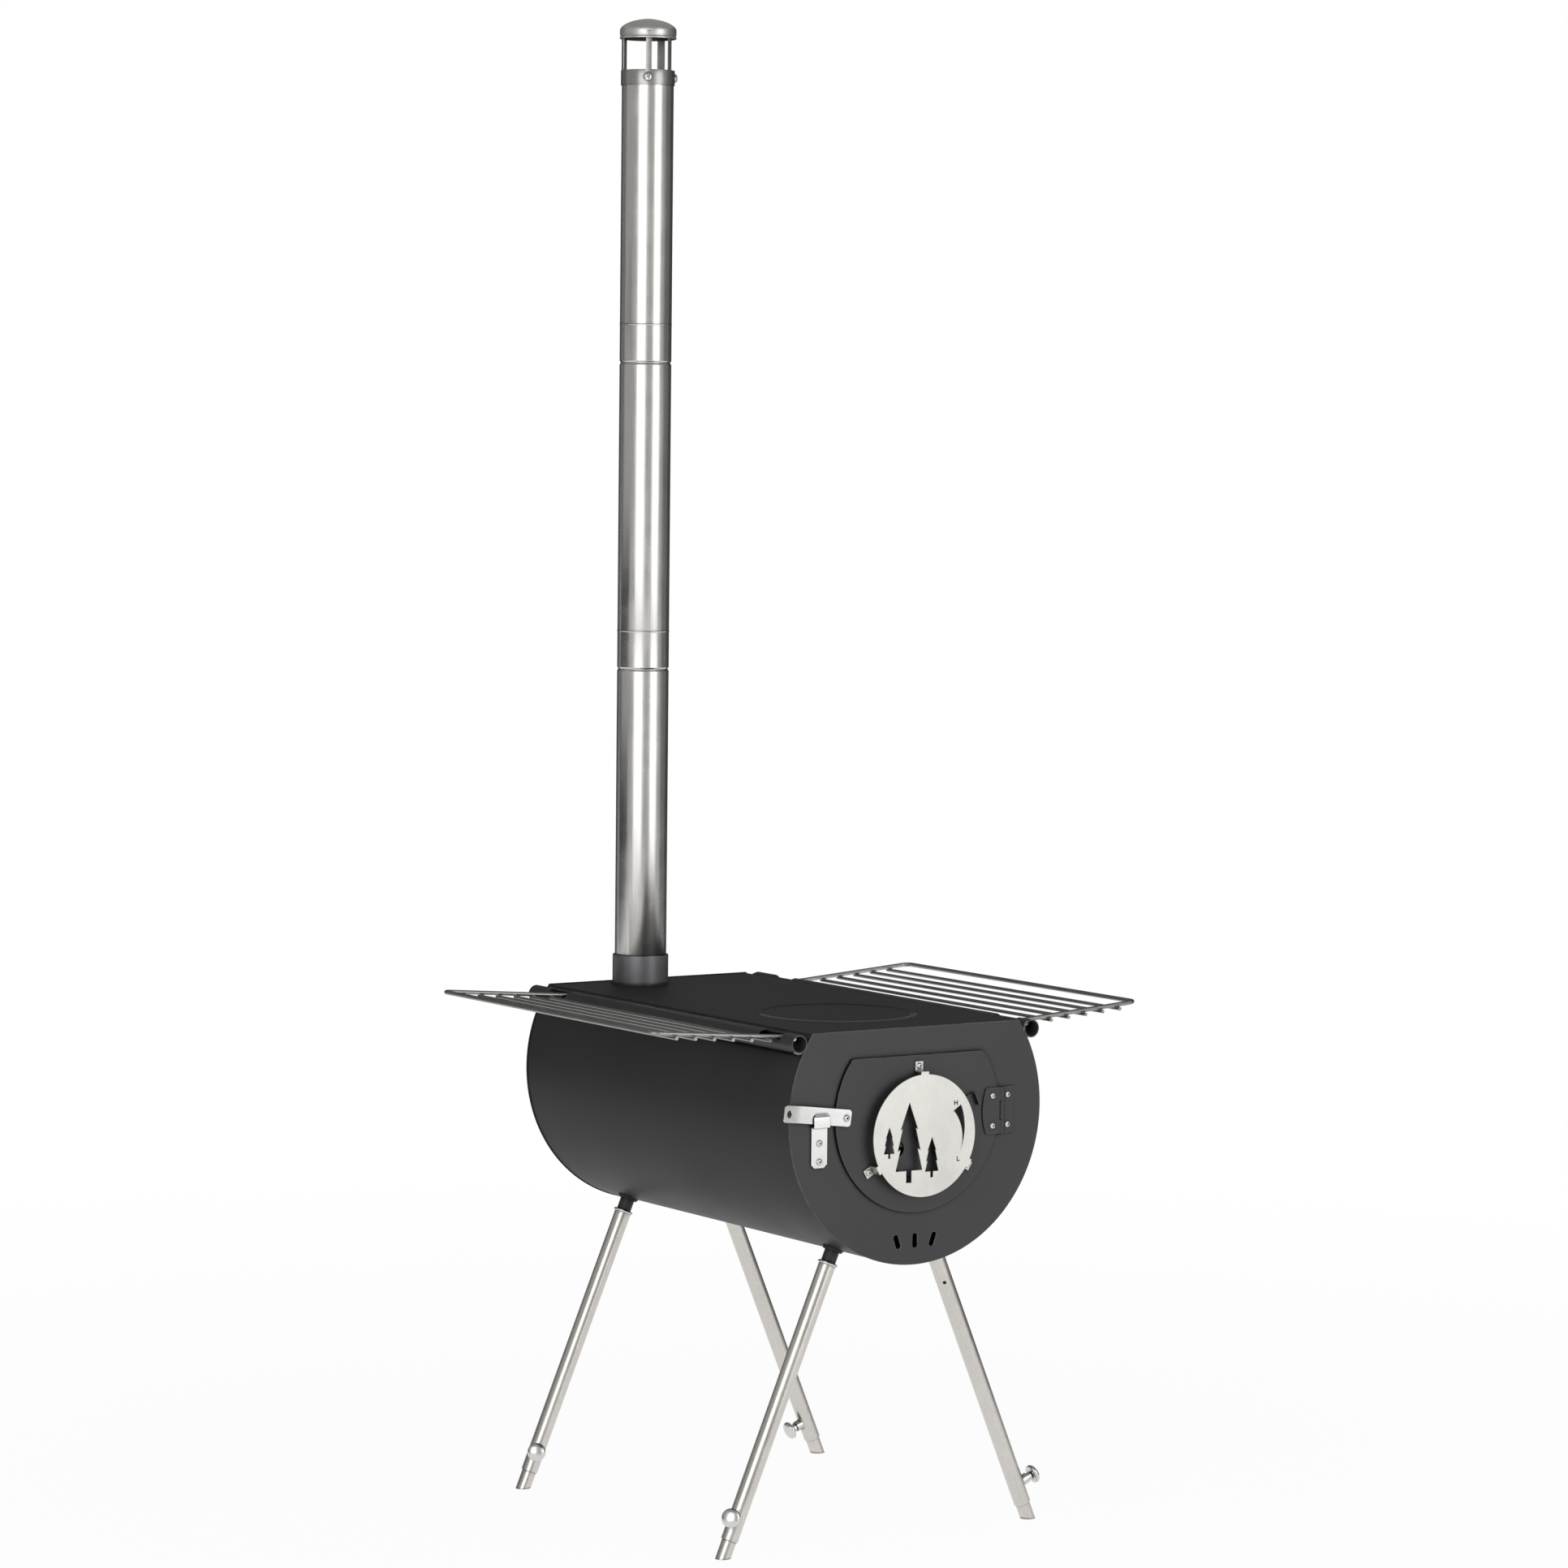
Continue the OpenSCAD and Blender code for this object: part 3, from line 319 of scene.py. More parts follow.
def place(piece, matrix):
    """Moves a piece by a matrix and fixes its place in its mesh."""
    piece.matrix_world = matrix
    select(piece)
    bpy.ops.object.transform_apply(location=True, rotation=True, scale=True)
    return piece


def stand_at(piece, centre, height=0.0):
    """Moves a piece from the frame's Z axis to a centre and height in millimetres."""
    return place(piece, Matrix.Translation(Vector((centre.x, centre.y, height)) * MM))


def copies(model, name, matrices):
    """Copies a model to each matrix, joins the copies and deletes the model."""
    made = []
    for matrix in matrices:
        select(model)
        bpy.ops.object.duplicate()
        made.append(place(bpy.context.active_object, matrix))
    select(*made)
    if len(made) > 1:
        bpy.ops.object.join()
    piece = rename(bpy.context.active_object, name)
    discard(model)
    return piece


def discard(*objects):
    """Deletes helper objects."""
    select(*objects)
    bpy.ops.object.delete()


def ripple(piece, amount, seed):
    """Moves the points of a weld bead at random, the same way each time."""
    edit(piece)
    bpy.ops.transform.vertex_random(offset=amount, uniform=0.3, normal=0.7, seed=seed)
    leave_edit()
    smooth(piece, 80)
    return piece


def fit(piece, body, slot, *nodes):
    """Makes a finished piece ride on its body, in its slot, in place of its CAD nodes."""
    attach(piece, body)
    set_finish(piece, slot)
    if nodes:
        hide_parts(*nodes)
    return piece


def refine(node, ease, segments=2, sharp=38, shape=None):
    """Copies a CAD node, merges its triangles and rounds its hard edges by a width."""
    source = NODES[node]
    body = source["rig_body"]
    select(source)
    bpy.ops.object.duplicate()
    piece = rename(bpy.context.active_object, node + "_finished")
    piece.parent = None
    del piece["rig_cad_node"], piece["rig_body"]
    nearly_flat = math.radians(0.4)
    edit(piece)
    bpy.ops.mesh.remove_doubles(threshold=2 * MICROMETRE)
    bpy.ops.mesh.dissolve_limited(angle_limit=nearly_flat)
    leave_edit()
    if piece.data.has_custom_normals:
        bpy.ops.mesh.customdata_custom_splitnormals_clear()
    if shape is not None:
        shape(piece)
    if ease > 0:
        modify(piece, "BEVEL", width=ease, segments=segments, limit_method="ANGLE",
               angle_limit=math.radians(sharp), use_clamp_overlap=False)
    smooth(piece)
    if ease > 0:
        modify(piece, "WEIGHTED_NORMAL", keep_sharp=True)
    return fit(piece, body, SLOT_OF[node], node)


def pick_edges(piece, test):
    """Selects, for edit mode, only the edges whose two ends pass a test together."""
    points = piece.data.vertices
    for part in (*points, *piece.data.polygons):
        part.select = False
    for edge in piece.data.edges:
        ends = [points[index] for index in edge.vertices]
        edge.select = test(*(end.co for end in ends))
        for end in ends:
            end.select = end.select or edge.select


def delete_faces(piece, test):
    """Deletes the faces that pass a test."""
    edit(piece, "DESELECT")
    bpy.ops.mesh.select_mode(type="FACE")
    leave_edit()
    for face in piece.data.polygons:
        face.select = test(face)
    bpy.ops.object.mode_set(mode="EDIT")
    bpy.ops.mesh.delete(type="FACE")
    bpy.ops.mesh.select_mode(type="VERT")
    leave_edit()


def second_finish(piece, test):
    """Gives the faces that pass a test the piece's second finish."""
    while len(piece.data.materials) < 2:
        piece.data.materials.append(None)
    for face in piece.data.polygons:
        face.material_index = 1 if test(face) else 0


# Barrel and door

# The cook top's pressed ring, in millimetres: its centre, its faces' reach and its depth
RING_CENTRE = Vector((0, -112))
RING_INNER, RING_OUTER, RING_DEPTH = 82, 90, 0.85
# The front-left side of the ring, from a distance off its centre, gets a lighter, glossier
# paint: its lighter colour is a painted highlight, its gloss is its own
HIGHLIT_SIDE, HIGHLIT_REACH = Vector((-0.42, -0.91)), 12
# A pressed sheet's faces below this share of facing front or back are its seams, which get a
# dark copy of the paint as painted shade
SEAM_FACING = 0.45


class STOVE_OT_barrel(bpy.types.Operator):
    """Eases the barrel, its end plates, cook top, collar and rack tubes"""
    bl_idname = "stove.barrel"
    bl_label = "Barrel and Plates"

    def execute(self, context):
        sizes = context.scene.stove_shape
        refine("barrel_shell", 0)
        top = refine("cook_top", sizes.top_ease, segments=3, sharp=25)
        level = box_mm("cook_top")[1].z - RING_DEPTH

        # Faces on the ring's front-left side, which get the painted highlight
        def in_highlit_ring(face):
            spot = face.center.xy / MM - RING_CENTRE
            return (face.center.z / MM > level and RING_INNER < spot.length < RING_OUTER
                    and spot.dot(HIGHLIT_SIDE) > HIGHLIT_REACH)

        second_finish(top, in_highlit_ring)
        refine("front_plate", sizes.plate_ease, segments=3)
        for node in ("rear_plate", "flue_collar"):
            refine(node, sizes.plate_ease)
        for node in ("rack_tube_left", "rack_tube_right"):
            refine(node, sizes.strip_ease)
        return {"FINISHED"}


def round_hook(piece):
    """Rounds the two upper corners of the keeper's hook."""
    corner_round, near_top = 5 * MM, 0.5
    level = (box_mm("latch_keeper")[1].z - near_top) * MM
    pick_edges(piece, lambda a, b: min(a.z, b.z) > level and abs(a.x - b.x) < MM)
    bpy.ops.object.mode_set(mode="EDIT")
    bpy.ops.mesh.bevel(offset=corner_round, segments=8, affect="EDGES")
    leave_edit()


class STOVE_OT_door(bpy.types.Operator):
    """Eases the door, its hinge, damper, latch and keeper"""
    bl_idname = "stove.door"
    bl_label = "Door, Damper and Latch"

    def execute(self, context):
        sizes = context.scene.stove_shape
        for node, ease in (("door_panel", sizes.door_ease),
                           ("hinge_leaf_fixed", sizes.strip_ease),
                           ("hinge_leaf_door", sizes.strip_ease)):
            piece = refine(node, ease, segments=3)
            # The edge faces of the door and hinge leaves get painted shade: a dark copy of the
            # paint
            second_finish(piece, lambda face: abs(face.normal.y) < SEAM_FACING)
        refine("hinge_pin", sizes.strip_ease)
        refine("damper_cover", sizes.thin_ease, segments=1)
        refine("air_shutter", sizes.thin_ease)
        refine("latch_bar", sizes.strip_ease)
        refine("latch_keeper", sizes.strip_ease, shape=round_hook)
        return {"FINISHED"}


# Flue pipe and arrestor

# How far in and up the points of a section's foot lie, as shares of its rounding
FOOT_SHARES = ((0.8, 0), (0.25, 0.25), (0, 1))
# A rolled rim's flare as a share of that rounding, and how far out and down its points lie,
# as shares of its flare
FLARE_SHARE = 0.7
RIM_SHARES = ((0, 4), (0.4, 2.6), (1, 1.6), (1.2, 0.8), (1, 0.2), (0.5, 0))
# The neck of a pipe section: its gap in the socket, and how far short of its depth it ends
NECK_GAP, NECK_SHORT = 0.05, 2.3


def pipe_section(sizes, radius, low, high, socket_below, groove):
    """The profile of a pipe section: outer wall up, over its rim, and down its bore."""
    wall = sizes.pipe_wall / MM
    bore = radius - wall
    ease = sizes.rim_round / MM
    flare = ease * FLARE_SHARE
    outer = [(radius - back * ease, low + up * ease) for back, up in FOOT_SHARES]
    inner = [(bore, high)]
    if groove:
        middle = high - sizes.socket_length / MM
        half = sizes.groove_height / MM / 2
        deep = sizes.groove_depth / MM
        steps = 8
        for step in range(-steps, steps + 1):
            dip = (1 + math.cos(math.pi * step / steps)) / 2 * deep
            outer.append((radius - dip, middle + half * step / steps))
        inner += [(bore, middle + half), (bore - deep, middle), (bore, middle - half)]
    outer += [(radius + out * flare, high - down * flare) for out, down in RIM_SHARES]
    if socket_below:
        neck = bore - NECK_GAP
        drop = low - sizes.socket_length / MM + NECK_SHORT
        inner += [(bore, low + wall), (neck - wall, low + wall), (neck - wall, drop),
                  (neck, drop), (neck, low)]
    else:
        inner += [(bore, low)]
    return outer + inner + outer[:1]


class STOVE_OT_pipe(bpy.types.Operator):
    """Rolls the three flue pipe sections with their grooves and rims"""
    bl_idname = "stove.pipe"
    bl_label = "Flue Pipe"

    def execute(self, context):
        sizes = context.scene.stove_shape
        centre, radius = middle_mm("pipe_lower"), radius_mm("pipe_lower")
        start = box_mm("pipe_lower")[0].z
        for node, socket_below, groove in (("pipe_lower", False, True),
                                           ("pipe_middle", True, True),
                                           ("pipe_upper", True, False)):
            end = box_mm(node)[1].z
            profile = pipe_section(sizes, radius, start, end, socket_below, groove)
            piece = stand_at(lathe(node + "_rolled", profile, segments=96), centre)
            smooth(piece, 40)
            fit(piece, "stove", SLOT_OF[node], node)
            start = end
        return {"FINISHED"}


def cross_head_screw(head_diameter):
    """A pan head with a cross recess and a short shank, along +Z from its seat."""
    radius = head_diameter / MM / 2
    profile = [(2.0, -1.0), (2.0, 0), (radius - 0.1, 0), (radius, 0.45), (radius - 0.2, 1.2),
               (radius - 0.75, 1.95), (radius - 1.7, 2.5), (radius - 2.9, 2.85), (0, 3.0)]
    screw = lathe("cross_head_screw", profile, segments=40, solid=True)
    long, narrow, deep = 0.6 * radius, 0.12 * radius, 1.6
    middle = 3.3 * MM
    for scale in ((long, narrow, deep), (narrow, long, deep)):
        cutter = new_piece("cross_cutter", bpy.ops.mesh.primitive_cube_add, size=2 * MM,
                           location=(0, 0, middle), scale=scale)
        modify(screw, "BOOLEAN", operation="DIFFERENCE", object=cutter, solver="EXACT")
        discard(cutter)
    smooth(screw, 35)
    return screw


# Turn about the pipe and width of each post, in degrees; the wide one is the lapped seam
POSTS = ((-119.7, 12), (-67.7, 12), (27.9, 18), (118.8, 12), (166.3, 12))


def cage_sheet(sizes):
    """The arrestor's rolled sheet: a band and a ring, and posts left between windows."""
    low, high = box_mm("arrestor_cage")
    radius = radius_mm("arrestor_cage")
    sill = low.z + sizes.band_height / MM
    head = sill + sizes.window_height / MM
    sheet = lathe("arrestor_cage_cut", [(radius, low.z), (radius, sill), (radius, head),
                                        (radius, high.z)], segments=240)

    def in_window(face):
        turn = math.degrees(math.atan2(face.center.y, face.center.x))
        clear = all(abs((turn - post + 180) % 360 - 180) > width / 2 for post, width in POSTS)
        return clear and sill < face.center.z / MM < head

    # The ring's inner faces above the windows get painted shade
    def in_shaded_ring(face):
        above, within = head - 0.1, radius - 0.3
        return face.center.z / MM > above and face.center.xy.length / MM < within

    delete_faces(sheet, in_window)
    modify(sheet, "SOLIDIFY", thickness=sizes.cage_sheet, offset=-1)
    second_finish(sheet, in_shaded_ring)
    modify(sheet, "BEVEL", width=sizes.thin_ease, segments=2, limit_method="ANGLE",
           angle_limit=math.radians(38))
    stand_at(sheet, middle_mm("arrestor_cage"))
    smooth(sheet)
    fit(sheet, "stove", SLOT_OF["arrestor_cage"], "arrestor_cage")


# How far out of the dome's radius and above its foot the points of its curled rim lie
CURL = ((-1.0, 0.5), (-0.7, 0), (-0.2, 0.2), (0.1, 0.8), (0.1, 1.5), (-0.2, 2.1), (-0.6, 2.6),
        (-0.7, 3.4), (-0.3, 4.3), (0, 5.4))
# Share of an ellipse in the crown's curve; the rest rises towards the middle
CROWN_SHARE = 0.86
# How far the crown stays under the frame's top
CROWN_UNDER = 0.01


def pressed_dome(sizes):
    """The arrestor's cap: a curled rim under a crown that is closed at its top."""
    low, high = box_mm("arrestor_dome")
    outer = radius_mm("arrestor_dome")
    shoulder = low.z + sizes.dome_rim / MM
    crown = high.z - shoulder
    steps = 14
    profile = [(outer + out, low.z + up) for out, up in CURL]
    for step in range(steps):
        turn = math.pi / 2 * step / steps
        rise = CROWN_SHARE * math.sin(turn) + (1 - CROWN_SHARE) * (1 - math.cos(turn))
        profile.append((outer * math.cos(turn), shoulder + crown * rise))
    profile.append((0, high.z - CROWN_UNDER))
    shell = lathe("arrestor_dome_pressed", profile, segments=96)
    modify(shell, "SOLIDIFY", thickness=sizes.dome_sheet, offset=-1)
    foot = UP * low.z * MM
    # The dome's inner faces get painted shade
    second_finish(shell, lambda face: face.normal.dot(face.center - foot) < 0)
    stand_at(shell, middle_mm("arrestor_dome"))
    smooth(shell, 40)
    fit(shell, "stove", SLOT_OF["arrestor_dome"], "arrestor_dome")


def dome_rivet():
    """A small solid rivet's round head, along +Z from its seat."""
    head = lathe("dome_rivet", [(0.8, -1.5), (0.8, 0), (1.7, 0), (1.75, 0.35), (1.4, 0.85),
                                (0.8, 1.15), (0, 1.25)], segments=24, solid=True)
    smooth(head, 50)
    return head


def round_the_pipe(turns, reach, height):
    """Matrices that look out from the pipe, for (turn, spin) pairs in degrees."""
    centre = middle_mm("arrestor_dome")
    axis = Vector((centre.x, centre.y, height))
    return [turn_to((axis + heading(turn) * reach) * MM, heading(turn), math.radians(spin))
            for turn, spin in turns]


# Turn about the pipe and spin of the band's screws and of the dome's rivets, in degrees
BAND_SCREWS = ((-31.7, 20), (58.3, 65), (-121.7, 30))
DOME_RIVETS = ((-119.7, 0), (0.3, 0), (120.3, 0))
# How far the dome's rivets are sunk in it, and their height above its foot
RIVET_SUNK, RIVET_HEIGHT = 0.1, 6.2


class STOVE_OT_arrestor(bpy.types.Operator):
    """Cuts the spark arrestor's cage, presses its dome and sets its screws and rivets"""
    bl_idname = "stove.arrestor"
    bl_label = "Spark Arrestor"

    def execute(self, context):
        sizes = context.scene.stove_shape
        cage_sheet(sizes)
        pressed_dome(sizes)
        places = round_the_pipe(BAND_SCREWS, radius_mm("arrestor_cage"),
                                middle_mm("arrestor_screws").z)
        screws = copies(cross_head_screw(sizes.screw_head), "arrestor_screws_finished", places)
        fit(screws, "stove", SLOT_OF["arrestor_screws"], "arrestor_screws")
        places = round_the_pipe(DOME_RIVETS, radius_mm("arrestor_dome") - RIVET_SUNK,
                                box_mm("arrestor_dome")[0].z + RIVET_HEIGHT)
        fit(copies(dome_rivet(), "dome_rivets", places), "stove", "pipe_stainless")
        return {"FINISHED"}


# Rivets and thumb screws

# Depth of the frame's plain rivet heads, from their front to their seat
HEAD_DEPTH = 1.8


def rivet_spots(node, head):
    """Where the heads of a node's rivets sit, in metres."""
    low, high = box_mm(node)
    seat = low.y + HEAD_DEPTH
    middle = middle_mm(node)
    if node == "latch_pivot":
        spots = [(middle.x, middle.z)]
    elif node == "cover_rivets":
        hub = middle_mm("shutter_pivot")
        reach = high.z - head / 2 - hub.z
        outs = [heading(turn) * reach for turn in (90, 210, 330)]
        spots = [(hub.x + out.x, hub.z + out.y) for out in outs]
    else:
        spots = [(middle.x, low.z + head / 2), (middle.x, high.z - head / 2)]
    return [Vector((x, seat, z)) * MM for x, z in spots]


def pop_rivet(head_diameter):
    """A pulled rivet: a flange with a sunk, broken-off mandrel, along +Z from its seat."""
    radius = head_diameter / MM / 2
    mandrel_and_recess_reach = radius - 2.32
    profile = [(1.6, -3.0), (1.6, 0), (radius - 0.1, 0), (radius, 0.22), (radius - 0.12, 0.6),
               (radius - 0.6, 1.15), (radius - 1.25, 1.6), (radius - 1.75, 1.8),
               (radius - 2.1, 1.78), (radius - 2.3, 1.55), (radius - 2.35, 0.5),
               (radius - 2.7, 0.45), (radius - 2.75, 0.8), (0.35, 0.9), (0, 0.88)]
    rivet = lathe("pop_rivet", profile, segments=40, solid=True)
    smooth(rivet, 40)
    # The mandrel and the recess walls round it get dark steel: the mandrel's own steel, and
    # painted shade in the recess
    second_finish(rivet, lambda face: face.center.z / MM > 0.3
                  and face.center.xy.length / MM < mandrel_and_recess_reach)
    return rivet


class STOVE_OT_rivets(bpy.types.Operator):
    """Sets the pop rivets of the hinge, keeper, damper cover and latch"""
    bl_idname = "stove.rivets"
    bl_label = "Rivets"

    def execute(self, context):
        head = context.scene.stove_shape.rivet_head
        for node in ("keeper_rivets", "frame_hinge_rivets", "door_hinge_rivets",
                     "cover_rivets", "latch_pivot"):
            places = [turn_to(spot, FORWARD) for spot in rivet_spots(node, head / MM)]
            piece = copies(pop_rivet(head), node + "_finished", places)
            fit(piece, NODES[node]["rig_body"], SLOT_OF[node], node)
        return {"FINISHED"}


# A thumb screw from the leg's axis outwards: its shank, its collar and its mushroom head
THUMB_SCREW = ((2.4, 8.5), (2.9, 9.0), (3.0, 9.6), (3.0, 16.3), (4.1, 16.3), (4.5, 16.6),
               (4.5, 20.6), (3.6, 21.2), (3.6, 21.7), (4.8, 22.2), (7.6, 22.4), (9.6, 22.7),
               (10.3, 23.3), (10.5, 24.3), (10.45, 25.7), (9.9, 26.9), (8.6, 27.9),
               (6.4, 28.9), (3.6, 29.5), (0, 29.8))


class STOVE_OT_thumb_screws(bpy.types.Operator):
    """Turns the four mushroom-headed thumb screws"""
    bl_idname = "stove.thumb_screws"
    bl_label = "Thumb Screws"

    def execute(self, context):
        for corner in CORNERS:
            joint = JOINTS[f"screw_{corner}_turn"]
            node = "thumb_screw_" + corner
            piece = lathe(node + "_finished", THUMB_SCREW, segments=56, solid=True)
            place(piece, turn_to(joint["pos_m"], joint["axis"]))
            smooth(piece, 40)
            fit(piece, "screw_" + corner, SLOT_OF[node], node)
        return {"FINISHED"}


# Legs, racks and welds

class STOVE_OT_legs(bpy.types.Operator):
    """Smooths the legs and their sockets"""
    bl_idname = "stove.legs"
    bl_label = "Legs"

    def execute(self, context):
        sizes = context.scene.stove_shape
        for corner in CORNERS:
            refine("leg_socket_" + corner, 0)
            refine("leg_tube_" + corner, sizes.thin_ease)
            refine("foot_leg_" + corner, sizes.strip_ease)
        return {"FINISHED"}


# The side racks' wires, as the frame has them: two arms along Y and the bars across them,
# in millimetres from the pivot, and the rise of the rack in degrees
ARM_FRONT, ARM_SPAN = -240, 451
BAR_FIRST, BAR_PITCH, BAR_COUNT = 21.0, 23.8, 6
RACK_RISE = 4.5
# A spot weld's half sizes, its drop below the wires and its ripple, and the width of the
# frame wire at each end, which keeps the plain wire finish while the rest gets painted shade
NUGGET, NUGGET_DROP, NUGGET_RIPPLE = (2.6, 2.9, 1.25), 2.3, 0.12
RACK_EDGE = 8


def spot_weld():
    """One rippled nugget, round the origin."""
    nugget = new_piece("spot_weld", bpy.ops.mesh.primitive_uv_sphere_add, segments=14,
                       ring_count=8, radius=MM)
    place(nugget, Matrix.Diagonal((*NUGGET, 1)))
    return ripple(nugget, NUGGET_RIPPLE * MM, 5)


class STOVE_OT_racks(bpy.types.Operator):
    """Smooths the two wire racks and adds the spot welds of their bars"""
    bl_idname = "stove.racks"
    bl_label = "Side Racks"

    def execute(self, context):
        for side, label in ((-1, "left"), (1, "right")):
            node = "side_rack_" + label
            first, last = box_mm(node)[0].y + RACK_EDGE, box_mm(node)[1].y - RACK_EDGE
            # The rack's wire between its ends gets a darker copy of its finish: painted shade
            second_finish(refine(node, 0), lambda face: first < face.center.y / MM < last)
            pivot = Vector(JOINTS[f"rack_{label}_fold"]["pos_m"])
            turn = Matrix.Rotation(-side * math.radians(RACK_RISE), 4, "Y")
            places = []
            for index in range(BAR_COUNT):
                reach = BAR_FIRST + index * BAR_PITCH
                for y in (ARM_FRONT, ARM_FRONT + ARM_SPAN):
                    spot = turn @ Vector((side * reach, 0, -NUGGET_DROP)) * MM
                    spot += Vector((pivot.x, y * MM, pivot.z))
                    places.append(Matrix.Translation(spot) @ turn)
            welds = copies(spot_weld(), f"side_rack_{label}_welds", places)
            fit(welds, "rack_" + label, SLOT_OF[node])
        return {"FINISHED"}


def leg_line(corner):
    """A leg's start on the barrel's axis and its direction outwards."""
    direction = Vector(JOINTS[f"leg_{corner}_slide"]["axis"]).normalized()
    axis_height = box_mm("barrel_shell")[0].z + radius_mm("barrel_shell")
    return Vector((0, middle_mm("leg_socket_" + corner).y, axis_height)) * MM, direction


def bead_ring(name, radius, sizes, seed):
    """A rippled weld bead round +Z, at a radius in millimetres."""
    bead = new_piece(name, bpy.ops.mesh.primitive_torus_add, major_radius=radius * MM,
                     minor_radius=sizes.weld_bead / 2, major_segments=110, minor_segments=10)
    return ripple(bead, sizes.weld_rough, seed)


def bead_arc(name, radius, sweep, sizes, seed):
    """A thinner weld bead along part of a ring round +Z, from +X, with closed ends."""
    thickness = 0.9 * sizes.weld_bead
    bead = new_piece(name, bpy.ops.mesh.primitive_circle_add, vertices=10,
                     radius=thickness / 2, fill_type="NGON",
                     location=(radius * MM, 0, 0), rotation=(math.pi / 2, 0, 0))
    edit(bead)
    bpy.ops.mesh.spin(steps=26, angle=sweep, center=(0, 0, 0), axis=(0, 0, 1))
    close_seams()
    return ripple(bead, sizes.weld_rough, seed)


# Radius of a bead round a leg socket, how far a bead's middle stands off a wall, and its
# height over the cook top
SOCKET_BEAD, BEAD_OFF, TUBE_BEAD_OFF, BEAD_OVER = 10.9, 0.3, 0.4, 0.1
# A rack tube's beads: their sweep in degrees, and how far in from its front and rear ends
TUBE_SWEEP, FRONT_IN, REAR_IN = 62, 0.9, 1.5


class STOVE_OT_welds(bpy.types.Operator):
    """Lays the weld beads of the sockets, collar and rack tubes"""
    bl_idname = "stove.welds"
    bl_label = "Welds"

    def execute(self, context):
        sizes = context.scene.stove_shape
        for seed, corner in enumerate(CORNERS, 1):
            start, direction = leg_line(corner)
            spot = start + direction * (radius_mm("barrel_shell") + BEAD_OFF) * MM
            ring = bead_ring(f"socket_weld_{corner}", SOCKET_BEAD, sizes, seed)
            fit(place(ring, turn_to(spot, direction)), "stove", "black_paint")
        ring = bead_ring("collar_weld", radius_mm("flue_collar") + BEAD_OFF, sizes, 7)
        stand_at(ring, middle_mm("flue_collar"), box_mm("flue_collar")[0].z + BEAD_OVER)
        fit(ring, "stove", "black_paint")
        # Side, where its beads start round the tube in degrees, and their ripple's seed
        for label, start, seed in (("left", -70, 10), ("right", 188, 12)):
            tube = "rack_tube_" + label
            low, high = box_mm(tube)
            middle = middle_mm(tube)
            turn = (Matrix.Rotation(math.pi / 2, 4, "X")
                    @ Matrix.Rotation(math.radians(start), 4, "Z"))
            for end, y in (("front", low.y + FRONT_IN), ("rear", high.y - REAR_IN)):
                arc = bead_arc(f"tube_weld_{end}_{label}", radius_mm(tube) + TUBE_BEAD_OFF,
                               math.radians(TUBE_SWEEP), sizes, seed)
                spot = Vector((middle.x, y, middle.z)) * MM
                fit(place(arc, Matrix.Translation(spot) @ turn), "stove", "bare_steel")
        return {"FINISHED"}


# Shader groups

def feed(tree, node, sockets):
    """Gives each of a node's inputs a number or colour, or links another node's output."""
    for key, value in sockets.items():
        if isinstance(value, bpy.types.NodeSocket):
            tree.links.new(value, node.inputs[key])
        else:
            node.inputs[key].default_value = value
    return node


def add(tree, kind, sockets=None, **fields):
    """Adds a node, sets its fields and feeds its inputs."""
    node = tree.nodes.new(kind)
    for key, value in fields.items():
        setattr(node, key, value)
    return feed(tree, node, sockets or {})


def noise(tree, vector, scale, detail, rough=0.5):
    """Fractal noise over the surface."""
    return add(tree, "ShaderNodeTexNoise", {"Vector": vector, "Scale": scale,
                                            "Detail": detail, "Roughness": rough}).outputs["Fac"]


def between(tree, value, low, high, low_in=0.35, high_in=0.65):
    """Maps a varying value from its usual range to a range of its own."""
    return add(tree, "ShaderNodeMapRange", {"Value": value, "From Min": low_in,
                                            "From Max": high_in, "To Min": low,
                                            "To Max": high}).outputs["Result"]


def combined(tree, operation, first, second, clamp=False):
    """Adds or multiplies two values."""
    return add(tree, "ShaderNodeMath", {0: first, 1: second}, operation=operation,
               use_clamp=clamp).outputs["Value"]


def bumped(tree, height, depth):
    """The normal of a surface with a varying height."""
    return add(tree, "ShaderNodeBump", {"Height": height, "Distance": depth}).outputs["Normal"]


def mixed(tree, value, first, second):
    """Mixes two colours by a varying value."""
    # A Mix node's sockets 6 and 7 take the colours, and its output 2 is their mix
    return add(tree, "ShaderNodeMix", {0: value, 6: first, 7: second},
               data_type="RGBA").outputs[2]


def new_group(name, inputs):
    """An empty shader group that takes Vector and further inputs, each with a default."""
    group = bpy.data.node_groups.new(name, "ShaderNodeTree")
    for label, default in {"Vector": (0.0, 0.0, 0.0), **inputs}.items():
        kind = "NodeSocketVector" if isinstance(default, tuple) else "NodeSocketFloat"
        socket = group.interface.new_socket(name=label, in_out="INPUT", socket_type=kind)
        socket.default_value = default
    return group, group.nodes.new("NodeGroupInput").outputs


def give(group, **results):
    """Makes a group's outputs: Normal is a vector, and the others are numbers."""
    for label in results:
        kind = "NodeSocketVector" if label == "Normal" else "NodeSocketFloat"
        group.interface.new_socket(name=label, in_out="OUTPUT", socket_type=kind)
    feed(group, group.nodes.new("NodeGroupOutput"), results)
    return group


def sprayed_skin():
    """Fine orange peel of sprayed heat-proof paint, with broad, faint patches."""
    group, inside = new_group("Sprayed Skin", {"Peel Scale": 900.0, "Peel Depth": 0.03 * MM,
                                               "Patch Scale": 7.0})
    peel = noise(group, inside["Vector"], inside["Peel Scale"], 3.0, 0.6)
    patches = noise(group, inside["Vector"], inside["Patch Scale"], 4.0, 0.55)
    return give(group, Patches=patches, Normal=bumped(group, peel, inside["Peel Depth"]))


